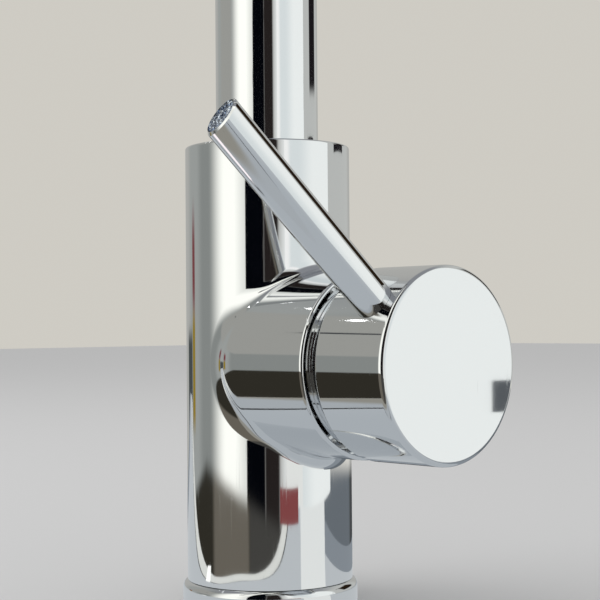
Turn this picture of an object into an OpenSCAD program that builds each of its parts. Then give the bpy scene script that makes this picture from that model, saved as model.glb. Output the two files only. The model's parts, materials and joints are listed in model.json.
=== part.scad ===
// Single-lever kitchen mixer tap: an upright round body, a valve housing on its right
// side, a pin lever on a round cap, and a tall swivelling spout. Sizes in millimetres.
// The origin lies on the worktop, on the body's axis. +Z is up, +X runs out along the
// handle's axis, and the spout points to -Y, towards the user. At rest the tap is shut.

/* [Body] */
// Diameter of the upright body
body_d = 45; // [43:0.5:48]
// Height of the body's flat top above the worktop
body_top = 123.8; // [120:0.2:150]
// Bevel on the body's top edge
body_bevel = 0.6; // [0.2:0.1:1.5]
// Diameter of the base ring
base_ring_d = 47.6; // [46:0.2:56]
// Height of the base ring
base_ring_h = 6.5; // [5:0.5:10]
// Rounding of the base ring's top edge
base_ring_round = 2.2; // [0.5:0.1:2.4]
// Outer diameter of the rubber gasket under the base ring
gasket_d = 41; // [38:0.5:43]
// Thickness of the rubber gasket under the base ring
gasket_t = 1.6; // [1:0.1:2.5]

/* [Fixing under the worktop] */
// Thickness of the worktop that the tap is clamped to
worktop_t = 30; // [10:1:40]
// Outer diameter of the threaded shank
shank_d = 33; // [32:0.5:34]
// Pitch of the shank's thread
shank_pitch = 1.5; // [1:0.25:3]
// Depth of the shank's thread
shank_thread_depth = 0.8; // [0.4:0.1:1]
// Diameter of the way for the hoses through the shank
shank_bore_d = 28; // [27:0.5:29]
// Length of the shank below the worktop's upper face
shank_drop = 75; // [70:1:110]
// Depth of the shank's socket in the body
shank_socket = 13.5; // [10:0.5:15]
// Diameter of the rubber washer under the worktop
rubber_washer_d = 52; // [48:1:60]
// Thickness of the rubber washer
rubber_washer_t = 3; // [2:0.5:5]
// Diameter of the steel washer
steel_washer_d = 50; // [46:1:58]
// Thickness of the steel washer
steel_washer_t = 2; // [1.5:0.5:3]
// Width across the flats of the mounting nut
nut_flats = 46; // [42:1:50]
// Height of the mounting nut
nut_h = 10; // [8:1:16]

/* [Water ways] */
// Bore of each hose thread in the body
inlet_d = 9; // [8.5:0.1:10]
// Depth of each hose thread
inlet_depth = 13; // [10:0.5:14]
// Distance between the two hose threads
inlet_pitch = 14.2; // [13:0.2:16]
// Diameter of the two supply channels
supply_d = 5.2; // [4:0.2:5.6]
// Diameter of the mixed water channel
mixed_d = 5.6; // [4:0.2:6]
// Distance of the supply channels behind the body's axis
supply_back = 6.6; // [6:0.2:7.4]
// Distance of the mixed water channel behind the body's axis
mixed_back = 13.4; // [13:0.2:15]

/* [Valve housing] */
// Height of the handle's axis above the worktop
valve_h = 65; // [62:0.5:67]
// Diameter of the valve housing
housing_d = 49; // [46:0.5:54]
// Distance of the housing's back shoulder from the body's axis
housing_start = 5; // [3:0.5:7]
// Rounding of the housing's back shoulder, where it comes out of the body's side
housing_back_round = 7; // [4:0.5:8]
// Distance of the housing's front edge from the body's axis
housing_end = 38.8; // [37.6:0.2:42]
// Rounding of the housing's front edge
housing_round = 1; // [0.4:0.1:1.4]
// Bore for the cartridge
chamber_d = 35.6; // [35.4:0.1:36.6]
// Thickness of the roof between the cartridge's bore and the spout's bore
chamber_roof = 5.2; // [4:0.2:8]
// Bore for the cartridge nut's thread
nut_bore_d = 39; // [38:0.5:41]
// Bore for the trim ring at the front of the housing
trim_bore_d = 45.2; // [44:0.2:46]
// Depth of the trim ring's bore
trim_depth = 5.8; // [4.8:0.2:6.4]

/* [Cartridge] */
// Diameter of the cartridge's shell
cartridge_d = 35; // [34.4:0.1:35.2]
// Height of the shell's shoulder above the chamber's floor
shoulder_h = 24; // [22:0.5:25]
// Diameter of the shell's neck
neck_d = 28.6; // [28.2:0.1:29.2]
// Height of the neck's end above the chamber's floor
neck_end_h = 36.5; // [36:0.1:38]
// Bore of the shell
shell_bore_d = 26.6; // [26.2:0.1:26.8]
// Bore of the lip at the neck's end
lip_bore_d = 23.2; // [22:0.2:24]
// Height of that lip
lip_h = 3.5; // [3:0.1:4]
// Thickness of the base plate
base_plate_t = 4; // [3.6:0.1:4.6]
// Thickness of each port seal
seal_t = 1; // [0.8:0.1:1.2]
// Diameter of each port seal
seal_d = 23; // [22:0.5:24]
// Diameter of the two pins that locate the base plate
locating_pin_d = 3.8; // [3:0.1:4.2]
// Length of the locating pins
locating_pin_l = 2.4; // [1.6:0.1:2.6]
// Distance of the locating pins from the handle's axis
locating_pin_r = 14.4; // [14:0.1:15]
// Diameter of the hot and cold ports through the base plate
port_d = 5.6; // [4.6:0.1:6]
// Distance of those ports from the handle's axis
port_r = 7.2; // [7:0.1:7.6]
// Angle of those ports to either side of the lever
port_angle = 50; // [45:1:55]
// Diameter of the outlet port in the middle
outlet_port_d = 6; // [4.6:0.2:6.4]
// Thickness of the fixed ceramic disc
fixed_disc_t = 3.5; // [3:0.1:4]
// Thickness of the moving ceramic disc
moving_disc_t = 3; // [2.6:0.1:3.4]
// Diameter of the moving ceramic disc
moving_disc_d = 21.2; // [20.6:0.1:22]
// Diameter of the mixing pocket in the moving disc
pocket_d = 9.8; // [9:0.1:10.2]
// Depth of the mixing pocket
pocket_depth = 2; // [1.4:0.1:2.2]
// Inner radius of the curved ports in the fixed disc
kidney_in_r = 5.3; // [5.2:0.1:5.6]
// Outer radius of the curved ports in the fixed disc
kidney_out_r = 8.7; // [8:0.1:9]
// Angle that each curved port spans
kidney_span = 72; // [60:1:76]

/* [Stem and collar] */
// Height of the tilt pin above the chamber's floor
pivot_h = 30.5; // [30:0.1:31]
// Largest tilt of the handle, in degrees
tilt_max = 9; // [6:0.5:9.5]
// Turn of the handle to either side of its middle, in degrees
turn_max = 50; // [40:1:55]
// Angle of the lever's middle position from upright, towards the user
lever_turn = 50; // [40:1:60]
// Thickness of the disc carrier's plate
carrier_t = 3.5; // [3:0.1:4]
// Width of the carrier's slide block
block_w = 14; // [13:0.2:15]
// Length of the carrier's slide block
block_l = 13; // [12:0.2:14]
// Height of the carrier's slide block
block_h = 5.5; // [5:0.1:6]
// Diameter of the ball at the stem's inner end
ball_d = 5; // [4.6:0.1:5.2]
// Height of the ball's centre above the carrier's underside
ball_lift = 2.9; // [2.8:0.1:3.2]
// Diameter of the stem's neck above the ball
stem_neck_d = 3.8; // [3.4:0.1:4]
// Diameter of the stem's round shank
stem_shank_d = 6; // [5:0.1:6.4]
// Width of the stem's square end
stem_square = 8; // [7:0.1:8.4]
// Height at which the stem's square starts above the chamber's floor
square_start_h = 26; // [25:0.1:26.5]
// Depth of the stem's square inside the cap, short of its front face
stem_short = 6.8; // [4:0.2:7]
// Diameter of the tilt pin
pivot_pin_d = 3; // [2:0.1:3.2]
// Height of the turning collar's lower end above the chamber's floor
collar_low_h = 16.5; // [16:0.1:17]
// Depth of the carrier's guide channel in the collar
guide_depth = 3.5; // [3:0.1:4]
// Height of the collar's top above the shell's neck
collar_proud = 2; // [1:0.1:2.4]
// Angle that the collar's stop lug spans
lug_span = 20; // [16:1:26]

/* [Cartridge nut and trim ring] */
// Height of the cartridge nut
cartridge_nut_h = 8.8; // [7:0.1:8.9]
// Width of the spanner slots in the cartridge nut
spanner_slot_w = 5; // [3:0.5:7]
// Depth of the spanner slots
spanner_slot_depth = 2.5; // [1:0.5:3.5]
// Diameter of the trim ring where it shows in the gap
trim_show_d = 42.4; // [40:0.2:43]
// Height that the trim ring stands out of the housing
trim_proud = 2.4; // [1.4:0.1:2.8]
// Step of the trim ring below the housing's front edge
trim_step = 0.6; // [0.3:0.1:1]
// Thickness of the trim ring's O-ring
trim_oring_d = 1.8; // [1.4:0.1:2]

/* [Handle] */
// Diameter of the handle cap
cap_d = 49; // [48:0.5:52]
// Gap between the housing and the cap
cap_gap = 4.3; // [4.1:0.1:6]
// Length of the cap
cap_l = 22.6; // [21:0.1:30]
// Rounding of the cap's front rim
cap_round = 1.4; // [0.6:0.1:3]
// Rounding of the cap's back rim
cap_back_round = 0.8; // [0.6:0.1:1.5]
// Diameter of the hollow in the cap's back
cap_hollow_d = 44.8; // [44:0.2:46]
// Depth of that hollow
cap_hollow_depth = 8.4; // [6:0.2:8.6]
// Diameter of the hub round the stem
hub_d = 16; // [14:0.5:20]
// Setback of the hub from the cap's back rim
hub_setback = 1.9; // [1.6:0.1:3]
// Diameter of the lever
lever_d = 9.6; // [8:0.2:10.4]
// Distance of the lever's axis behind the cap's front face
lever_back = 8; // [6.5:0.1:9]
// Distance of the lever's tip from the handle's axis
lever_reach = 85.8; // [60:0.2:120]
// Slant of the lever's tip, in degrees
tip_slant = 14; // [0:1:18]
// Turn of that slant about the lever, in degrees
tip_turn = 28; // [0:1:90]
// Depth of the lever's seat in the cap
lever_seat = 1.2; // [0.8:0.1:2]
// Thread of the lever's stud
lever_stud_d = 6; // [4:0.5:6]
// Length of the lever's stud
lever_stud_l = 11; // [8:0.5:12]
// Bevel at both ends of the lever
lever_bevel = 0.4; // [0.2:0.1:0.4]
// Diameter of the textured plug in the lever's tip
plug_d = 8.4; // [6:0.2:8.4]
// Length of that plug
plug_l = 3; // [2:0.5:6]
// Setback of the plug's face from the lever's tip
plug_setback = 0.2; // [0:0.1:0.5]
// Thread of the grub screw that holds the cap on the stem
cap_screw_d = 5; // [4:0.5:5]
// Length of the cap's grub screw
cap_screw_l = 8; // [6:0.5:12]
// Distance of the cap's grub screw behind the cap's front face
cap_screw_back = 11.2; // [10.4:0.1:11.3]

/* [Spout] */
// Outer diameter of the spout tube
spout_d = 28; // [24:0.2:28.4]
// Wall of the spout tube
spout_wall = 1.2; // [0.8:0.1:1.4]
// Radius of the spout's bend, at the tube's middle
bend_r = 100; // [70:1:130]
// Height of the bend's centre above the worktop
bend_h = 250; // [230:1:300]
// Length of the straight end of the spout
outlet_leg = 14; // [14:1:60]
// Swivel of the spout to either side, in degrees
swivel_max = 75; // [30:1:80]
// Bore for the spout's foot in the body
spout_bore_d = 32; // [31.6:0.1:33]
// Bore of the spout's foot
foot_bore_d = 23; // [20:0.5:24]
// Depth to which the tube stands in the foot
tube_seat = 10; // [6:0.5:12]
// Thickness of each O-ring on the foot
foot_oring_d = 2.6; // [2.2:0.1:2.8]
// Height of the lower O-ring above the foot's lower end
oring_low = 3.8; // [3:0.1:4]
// Distance between the two O-rings
oring_pitch = 5; // [4.4:0.1:5.2]
// Height of the swivel groove above the foot's lower end
groove_h = 15.8; // [15:0.1:16.4]
// Width of the swivel groove
groove_w = 4.4; // [4:0.1:5]
// Depth of the swivel groove
groove_depth = 1.6; // [1:0.1:2.2]
// Thread of the swivel stop screw
stop_screw_d = 5; // [4.6:0.1:5.4]
// Diameter of the stop screw's tip
stop_tip_d = 3.8; // [3:0.1:3.9]
// Height of the slip ring at the body's top
slip_ring_h = 3.3; // [2:0.1:4]
// Height that the slip ring stands above the body
slip_ring_proud = 0.4; // [0.1:0.1:1]
// Thickness of the thrust washer under the foot
thrust_washer_t = 1.2; // [0.8:0.1:2]

/* [Aerator] */
// Outer diameter of the aerator's thread
aerator_thread_d = 24; // [21:0.5:24]
// Length of the aerator's thread
aerator_thread_l = 7; // [5:0.5:9]
// Diameter of the aerator's collar
aerator_collar_d = 27; // [26:0.2:28]
// Height of the aerator's collar
aerator_collar_h = 7; // [5:0.5:10]
// Bore of the aerator housing
aerator_bore_d = 20.4; // [18:0.2:21]
// Inner diameter of the lip that holds the insert
aerator_lip_d = 19.2; // [17:0.2:19.6]
// Height of that lip
aerator_lip_h = 1; // [0.6:0.1:2]
// Thickness of the flat rubber washer above the aerator
aerator_washer_t = 2; // [1:0.1:3]
// Height of the aerator insert
insert_h = 10; // [7:0.5:10.5]
// Thickness of the sieve's rim
sieve_t = 0.8; // [0.5:0.1:1.2]
// Length of the threaded sleeve in the spout's end
sleeve_l = 14; // [13:0.5:20]
// Diameter of the water jets in the aerator insert
jet_d = 2.4; // [1:0.1:2.6]

/* [Clearances] */
// Radial clearance of a running fit
run_gap = 0.08; // [0.02:0.01:0.1]
// Radial clearance between a thread and its mate
thread_gap = 0.05; // [0.02:0.01:0.1]
// Clearance round a piece that only has to clear its neighbour
clear_gap = 0.3; // [0.2:0.05:0.5]
// Water film between sliding faces
film_gap = 0.05; // [0.02:0.01:0.1]

/* [Hidden] */
$fn = 96;

// Extra length of a cut past the face that it opens
cut = 1;
// Steps of a rounded edge in a turned outline
round_steps = 6;
// Width of the ball at a channel's bend, as a share of the channel's width
bend_swell = 1.1;
// Steepness of the supply channels behind the hose threads
supply_slope = 1.5;
// Drop from the spout's bore to the bend where the mixed water turns in
mixed_drop = 8;
// Play at each end of a stop's travel, in degrees
stop_play = 1;
// Setback of the stop screw's head in the body's back
stop_screw_setback = 1;
// Flats for a spanner on the aerator's collar, as a share of its diameter
spanner_flats = 0.92;

// Heights in the body
body_low = base_ring_h;
socket_top = body_low + shank_socket;
inlet_top = socket_top + inlet_depth;
bore_floor = valve_h + chamber_d / 2 + chamber_roof;
// Height at which the supply channels have reached their place behind the chamber
supply_bend_h = inlet_top + supply_back * supply_slope;

// Distances along the handle's axis, from the body's axis
nut_x = shoulder_h;
trim_floor = housing_end - trim_depth;
cap_x = housing_end + cap_gap;
cap_front = cap_x + cap_l;
lever_x = cap_front - lever_back;
cap_screw_x = cap_front - cap_screw_back;
stem_end = cap_front - stem_short;
hub_x = cap_x + hub_setback;
hollow_end = cap_x + cap_hollow_depth;
disc_x = base_plate_t;
moving_disc_x = disc_x + fixed_disc_t + film_gap;
carrier_x = moving_disc_x + moving_disc_t;
block_top = carrier_x + carrier_t + block_h;
ball_x = carrier_x + ball_lift;
collar_top = neck_end_h + collar_proud;
lip_x = neck_end_h - lip_h;
collar_shoulder = lip_x - clear_gap;

// How far the tilting stem shifts the moving disc, and the disc's place when shut
stem_arm = pivot_h - ball_x;
disc_travel = stem_arm * tilt_max * PI / 180;
disc_rest = -disc_travel / 2;

// Heights of the spout's foot and of its outlet
foot_low = bore_floor + thrust_washer_t + film_gap;
foot_top = body_top + slip_ring_proud - slip_ring_h - clear_gap / 3;
tube_low = foot_top - tube_seat;
groove_mid = foot_low + groove_h;
oring_h = [foot_low + oring_low, foot_low + oring_low + oring_pitch];
foot_r = spout_bore_d / 2 - run_gap;
oring_ring_r = spout_bore_d / 2 - run_gap - foot_oring_d / 2;
outlet_y = -2 * bend_r;
outlet_h = bend_h - outlet_leg;
sleeve_seat_h = outlet_h + aerator_thread_l + aerator_washer_t;
aerator_low = outlet_h - aerator_collar_h;
insert_low = aerator_low + aerator_lip_h;
sieve_low = insert_low + insert_h;

// Half the angle of the swivel groove: the swivel, the screw's tip and the play
groove_half = swivel_max + asin(stop_tip_d / 2 / (foot_r - groove_depth)) + stop_play;
// Angle of the notch in the shell's lip: the lug, and the turn and the play both ways
notch_span = lug_span + 2 * (turn_max + stop_play);

// Points of a quarter round from angle a to b about a centre
function round_points(centre, r, a, b) =
    [for (i = [0 : round_steps]) let (t = a + (b - a) * i / round_steps)
        [centre.x + r * cos(t), centre.y + r * sin(t)]];

// Place of a port on the chamber's floor, at an angle from upright towards the user
function port_place(x, angle) =
    [x, -port_r * sin(angle), valve_h + port_r * cos(angle)];

module rod(d, low, high) {
    translate([0, 0, low]) cylinder(d = d, h = high - low);
}

module tube(d, bore, low, high) {
    difference() {
        rod(d, low, high);
        rod(bore, low - cut, high + cut);
    }
}

// Part of a tube, over an angle about the middle direction
module tube_arc(d, bore, low, high, middle, span) {
    rotate([0, 0, middle - span / 2])
        rotate_extrude(angle = span)
            translate([bore / 2, low])
                square([(d - bore) / 2, high - low]);
}

module torus(ring_r, d, height) {
    translate([0, 0, height])
        rotate_extrude()
            translate([ring_r, 0])
                circle(d = d, $fn = 32);
}

// A round channel through a list of points, with a ball at each bend
module channel(points, d) {
    for (i = [0 : len(points) - 2]) {
        step = points[i + 1] - points[i];
        translate(points[i])
            rotate([0, acos(step.z / norm(step)), atan2(step.y, step.x)])
                cylinder(d = d, h = norm(step));
    }
    for (i = [1 : len(points) - 2])
        translate(points[i]) sphere(d = bend_swell * d);
}

// Children are drawn with +Z out along the handle's axis and +X along the lever
module on_valve_axis() {
    translate([0, 0, valve_h])
        rotate([lever_turn, 0, 0])
            rotate([0, 90, 0])
                rotate([0, 0, 180])
                    children();
}

// Children are drawn along +Z from the handle's axis and are laid along the lever,
// or opposite to it
module along_lever(x, side = 1) {
    on_valve_axis()
        translate([0, 0, x])
            rotate([0, 90 * side, 0])
                children();
}

module at_outlet() {
    translate([0, outlet_y, 0]) children();
}

// The three ports through the base plate and its seals
module ports(low, high) {
    rod(outlet_port_d, low, high);
    for (side = [-1, 1])
        rotate([0, 0, side * port_angle])
            translate([port_r, 0, 0])
                rod(port_d, low, high);
}

// Hexagon socket of a grub screw, cut down from its end
module hex_socket(flats, end, depth) {
    translate([0, 0, end - depth])
        cylinder(d = flats / cos(30), h = depth + cut, $fn = 6);
}

// Outer form of the body and its valve housing
module body_form() {
    rotate_extrude()
        polygon([
            [0, body_low], [body_d / 2, body_low], [body_d / 2, body_top - body_bevel],
            [body_d / 2 - body_bevel, body_top], [0, body_top]
        ]);
    on_valve_axis()
        rotate_extrude()
            polygon(concat(
                [[0, housing_start]],
                round_points([housing_d / 2 - housing_back_round,
                              housing_start + housing_back_round],
                             housing_back_round, -90, 0),
                round_points([housing_d / 2 - housing_round, housing_end - housing_round],
                             housing_round, 0, 90),
                [[0, housing_end]]
            ));
}

// Ways for cold, hot and mixed water through the casting
module water_ways() {
    cold = port_place(-supply_back, lever_turn + port_angle);
    hot = port_place(-supply_back, lever_turn - port_angle);
    inlet_y = inlet_pitch / 2;
    channel([
        [0, -inlet_y, inlet_top - cut], [-supply_back, -inlet_y, supply_bend_h],
        cold, port_place(cut, lever_turn + port_angle)
    ], supply_d);
    channel([
        [0, inlet_y, inlet_top - cut], [-supply_back, inlet_y, supply_bend_h],
        [-supply_back, inlet_y, hot.z], hot, port_place(cut, lever_turn - port_angle)
    ], supply_d);
    channel([
        [cut, 0, valve_h], [-mixed_back, 0, valve_h],
        [-mixed_back, 0, bore_floor - mixed_drop],
        [-mixed_d * 2 / 3, 0, bore_floor + mixed_d / 4]
    ], mixed_d);
    for (side = [-1, 1])
        translate([0, side * inlet_y, 0])
            rod(inlet_d, socket_top - cut, inlet_top);
}

module body() {
    color("gainsboro")
        difference() {
            body_form();
            rod(shank_d + 2 * thread_gap, body_low - cut, socket_top);
            rod(spout_bore_d, bore_floor, body_top + cut);
            on_valve_axis() {
                rod(chamber_d, 0, housing_end + cut);
                rod(nut_bore_d, nut_x - cut / 2, housing_end + cut);
                rod(trim_bore_d, trim_floor, housing_end + cut);
                for (side = [-1, 1])
                    translate([0, side * locating_pin_r, 0])
                        rod(locating_pin_d + 2 * run_gap, -locating_pin_l - film_gap, cut);
            }
            water_ways();
            translate([0, 0, groove_mid])
                rotate([-90, 0, 0])
                    rod(stop_screw_d + 2 * thread_gap, 0, body_d);
        }
}

module base_ring() {
    outer_r = base_ring_d / 2;
    bore_r = shank_d / 2 + clear_gap;
    color("gainsboro")
        difference() {
            rotate_extrude()
                polygon(concat(
                    [[bore_r, 0], [outer_r - clear_gap, 0], [outer_r, clear_gap]],
                    round_points([outer_r - base_ring_round, base_ring_h - base_ring_round],
                                 base_ring_round, 0, 90),
                    [[bore_r, base_ring_h]]
                ));
            rod(gasket_d + clear_gap, -cut, gasket_t);
        }
}

module base_gasket() {
    color("dimgray") tube(gasket_d, shank_d + 2 * clear_gap, 0, gasket_t);
}

// The thread is a stack of rings, one for each turn
module mounting_shank() {
    crest_r = shank_d / 2;
    root_r = crest_r - shank_thread_depth;
    thread_low = shank_pitch - shank_drop;
    turns = floor((body_low - shank_pitch - thread_low) / shank_pitch);
    color("darkgoldenrod")
        difference() {
            rotate_extrude()
                polygon(concat(
                    [[0, -shank_drop], [root_r, -shank_drop]],
                    [for (i = [0 : turns], half = [0, 1])
                        [root_r + half * shank_thread_depth,
                         thread_low + (i + half / 2) * shank_pitch]],
                    [[crest_r, socket_top - film_gap], [0, socket_top - film_gap]]
                ));
            rod(shank_bore_d, -shank_drop - cut, socket_top);
        }
}

module rubber_washer() {
    color("dimgray")
        tube(rubber_washer_d, shank_d + 2 * clear_gap, -worktop_t - rubber_washer_t, -worktop_t);
}

module steel_washer() {
    top = -worktop_t - rubber_washer_t;
    color("silver") tube(steel_washer_d, shank_d + 2 * clear_gap, top - steel_washer_t, top);
}

module mounting_nut() {
    top = -worktop_t - rubber_washer_t - steel_washer_t;
    color("darkgoldenrod")
        difference() {
            translate([0, 0, top - nut_h])
                cylinder(d = nut_flats / cos(30), h = nut_h, $fn = 6);
            rod(shank_d + 2 * thread_gap, top - nut_h - cut, top + cut);
        }
}

module bend(d) {
    translate([0, -bend_r, bend_h])
        rotate([0, 90, 0])
            rotate([0, 0, 90])
                rotate_extrude(angle = 180)
                    translate([bend_r, 0])
                        circle(d = d);
}

module spout_tube() {
    bore = spout_d - 2 * spout_wall;
    color("gainsboro")
        difference() {
            union() {
                rod(spout_d, tube_low, bend_h);
                bend(spout_d);
                at_outlet() rod(spout_d, outlet_h, bend_h);
            }
            rod(bore, tube_low - cut, bend_h);
            bend(bore);
            at_outlet() rod(bore, outlet_h - cut, bend_h);
        }
}

module spout_foot() {
    foot_d = 2 * foot_r;
    groove_bed = foot_d - 2 * groove_depth;
    ring_bed = 2 * oring_ring_r - foot_oring_d - 2 * film_gap;
    ring_w = foot_oring_d + 2 * clear_gap;
    color("darkgoldenrod")
        difference() {
            rod(foot_d, foot_low, foot_top);
            rod(foot_bore_d, foot_low - cut, foot_top);
            rod(spout_d + 2 * film_gap, tube_low - film_gap, foot_top + cut);
            for (h = oring_h)
                tube(foot_d + cut, ring_bed, h - ring_w / 2, h + ring_w / 2);
            tube_arc(foot_d + cut, groove_bed, groove_mid - groove_w / 2,
                     groove_mid + groove_w / 2, 90, 2 * groove_half);
        }
}

module spout_orings() {
    color("dimgray")
        for (h = oring_h)
            torus(oring_ring_r, foot_oring_d, h);
}

module spout_slip_ring() {
    top = body_top + slip_ring_proud;
    color("lightgray")
        tube(spout_bore_d - 2 * film_gap, spout_d + 2 * run_gap, top - slip_ring_h, top);
}

module spout_thrust_washer() {
    color("lightgray")
        tube(spout_bore_d - 2 * clear_gap, foot_bore_d, bore_floor, bore_floor + thrust_washer_t);
}

module spout_stop_screw() {
    tip_r = foot_r - groove_depth + clear_gap;
    thread_r = spout_bore_d / 2 + clear_gap;
    end_r = body_d / 2 - stop_screw_setback;
    color("silver")
        translate([0, 0, groove_mid])
            rotate([-90, 0, 0])
                difference() {
                    union() {
                        rod(stop_tip_d, tip_r, thread_r + cut);
                        rod(stop_screw_d, thread_r, end_r);
                    }
                    hex_socket(stop_screw_d / 2, end_r, (end_r - thread_r) / 2);
                }
}

module outlet_sleeve() {
    sleeve_d = spout_d - 2 * spout_wall - 2 * film_gap;
    thread_bore = aerator_thread_d + 2 * thread_gap;
    color("darkgoldenrod")
        at_outlet()
            difference() {
                rod(sleeve_d, outlet_h, outlet_h + sleeve_l);
                rod(thread_bore, outlet_h - cut, sleeve_seat_h);
                rod(aerator_bore_d, outlet_h, outlet_h + sleeve_l + cut);
            }
}

module aerator_washer() {
    color("dimgray")
        at_outlet()
            tube(aerator_thread_d - clear_gap, aerator_bore_d, sleeve_seat_h - aerator_washer_t,
                 sleeve_seat_h);
}

module aerator_housing() {
    flats = aerator_collar_d * spanner_flats;
    color("gainsboro")
        at_outlet()
            difference() {
                union() {
                    rod(aerator_thread_d, outlet_h, outlet_h + aerator_thread_l);
                    intersection() {
                        rod(aerator_collar_d, aerator_low, outlet_h);
                        translate([-aerator_collar_d, -flats / 2, aerator_low - cut])
                            cube([2 * aerator_collar_d, flats, aerator_collar_h + 2 * cut]);
                    }
                }
                rod(aerator_bore_d, insert_low, outlet_h + aerator_thread_l + cut);
                rod(aerator_lip_d, aerator_low - cut, outlet_h);
            }
}

// Two rings of jets round a middle one
module jets(low, high) {
    rod(jet_d, low, high);
    for (ring = [1, 2])
        for (i = [0 : 6 * ring - 1])
            rotate([0, 0, i * 60 / ring])
                translate([ring * aerator_lip_d / 6, 0, 0])
                    rod(jet_d, low, high);
}

module aerator_insert() {
    color("whitesmoke")
        at_outlet()
            difference() {
                rod(aerator_bore_d - 2 * run_gap, insert_low, sieve_low);
                jets(insert_low - cut, sieve_low + cut);
            }
}

module aerator_sieve() {
    color("silver")
        at_outlet()
            difference() {
                rod(aerator_bore_d - 2 * run_gap, sieve_low, sieve_low + sieve_t);
                rod(aerator_bore_d - 4 * sieve_t, sieve_low + sieve_t / 2, sieve_low + sieve_t + cut);
                jets(sieve_low - cut, sieve_low + sieve_t + cut);
            }
}

module cartridge_base() {
    color("whitesmoke")
        on_valve_axis() {
            difference() {
                rod(cartridge_d - 2 * film_gap, 0, base_plate_t);
                rod(seal_d + 2 * film_gap, -cut, seal_t);
                rod(seal_d + 2 * film_gap, base_plate_t - seal_t, base_plate_t + cut);
                ports(0, base_plate_t);
            }
            for (side = [-1, 1])
                translate([0, side * locating_pin_r, 0])
                    rod(locating_pin_d, -locating_pin_l, seal_t);
        }
}

module port_seals() {
    color("dimgray")
        on_valve_axis()
            for (low = [0, base_plate_t - seal_t])
                difference() {
                    rod(seal_d, low, low + seal_t);
                    ports(low - cut, low + seal_t + cut);
                }
}

module fixed_disc() {
    color("white")
        on_valve_axis()
            difference() {
                rod(shell_bore_d - 2 * film_gap, disc_x, disc_x + fixed_disc_t);
                rod(outlet_port_d, disc_x - cut, disc_x + fixed_disc_t + cut);
                for (side = [-1, 1])
                    tube_arc(2 * kidney_out_r, 2 * kidney_in_r, disc_x - cut,
                             disc_x + fixed_disc_t + cut, side * port_angle, kidney_span);
            }
}

module moving_disc() {
    color("white")
        on_valve_axis()
            difference() {
                translate([disc_rest, 0, 0])
                    rod(moving_disc_d, moving_disc_x, carrier_x);
                rod(pocket_d, moving_disc_x - cut, moving_disc_x + pocket_depth);
            }
}

module disc_carrier() {
    socket_d = ball_d + 2 * run_gap;
    mouth_d = stem_shank_d + block_h / 2;
    mouth_x = ball_x + ball_d / 2 + 2 * clear_gap;
    color("lightslategray")
        on_valve_axis()
            difference() {
                union() {
                    translate([disc_rest, 0, 0])
                        rod(moving_disc_d, carrier_x, carrier_x + carrier_t);
                    translate([-block_l / 2, -block_w / 2, carrier_x + cut])
                        cube([block_l, block_w, block_top - carrier_x - cut]);
                }
                rod(socket_d, ball_x - ball_d / 2 - film_gap, block_top + cut);
                rod(mouth_d, mouth_x, block_top + cut);
            }
}

// Room for the stem inside the collar, over its whole swing
module stem_swing() {
    low_shift = (pivot_h - collar_low_h) * sin(tilt_max) + clear_gap;
    square_shift = (pivot_h - square_start_h) * sin(tilt_max) + clear_gap;
    high_shift = (collar_top - pivot_h) * sin(tilt_max) + clear_gap;
    half_shank = stem_shank_d / 2 + clear_gap;
    half_square = stem_square / 2 + clear_gap;
    square_low = square_start_h - 2 * clear_gap;
    translate([-half_shank, -half_shank, collar_low_h - cut])
        cube([half_shank * 2 + low_shift, half_shank * 2, pivot_h - collar_low_h + cut]);
    translate([-half_square - high_shift, -half_square, square_low])
        cube([2 * half_square + high_shift + square_shift, 2 * half_square,
              collar_top - square_low + cut]);
}

module turning_collar() {
    collar_d = shell_bore_d - 2 * run_gap;
    collar_neck_d = lip_bore_d - 2 * clear_gap;
    guide_w = block_w + 2 * run_gap;
    color("slategray")
        on_valve_axis()
            difference() {
                union() {
                    rod(collar_d, collar_low_h, collar_shoulder);
                    rod(collar_neck_d, collar_shoulder - cut, collar_top);
                    tube_arc(collar_d, collar_neck_d - cut, collar_shoulder - cut,
                             neck_end_h, 180, lug_span);
                }
                translate([-collar_d, -guide_w / 2, collar_low_h - cut])
                    cube([2 * collar_d, guide_w, guide_depth + cut]);
                stem_swing();
                translate([0, 0, pivot_h])
                    rotate([90, 0, 0])
                        rod(pivot_pin_d + 2 * film_gap, -collar_d, collar_d);
            }
}

module valve_stem() {
    color("silver")
        on_valve_axis()
            difference() {
                union() {
                    translate([0, 0, ball_x]) sphere(d = ball_d);
                    rod(stem_neck_d, ball_x, square_start_h);
                    rod(stem_shank_d, ball_x + ball_d / 2 + 4 * clear_gap, square_start_h);
                    translate([-stem_square / 2, -stem_square / 2, square_start_h])
                        cube([stem_square, stem_square, stem_end - square_start_h]);
                }
                translate([0, 0, pivot_h])
                    rotate([90, 0, 0])
                        rod(pivot_pin_d + 2 * run_gap, -stem_square, stem_square);
            }
}

module tilt_pin() {
    half_l = shell_bore_d / 2 - 3 * clear_gap;
    color("silver")
        on_valve_axis()
            translate([0, 0, pivot_h])
                rotate([90, 0, 0])
                    rod(pivot_pin_d, -half_l, half_l);
}

module cartridge_shell() {
    color("whitesmoke")
        on_valve_axis()
            difference() {
                union() {
                    rod(cartridge_d, base_plate_t, shoulder_h);
                    rod(neck_d, shoulder_h - cut, neck_end_h);
                }
                rod(shell_bore_d, base_plate_t - cut, lip_x);
                rod(lip_bore_d, lip_x - cut, neck_end_h + cut);
                tube_arc(shell_bore_d, lip_bore_d - cut, lip_x - cut, neck_end_h + cut,
                         180, notch_span);
            }
}

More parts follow.
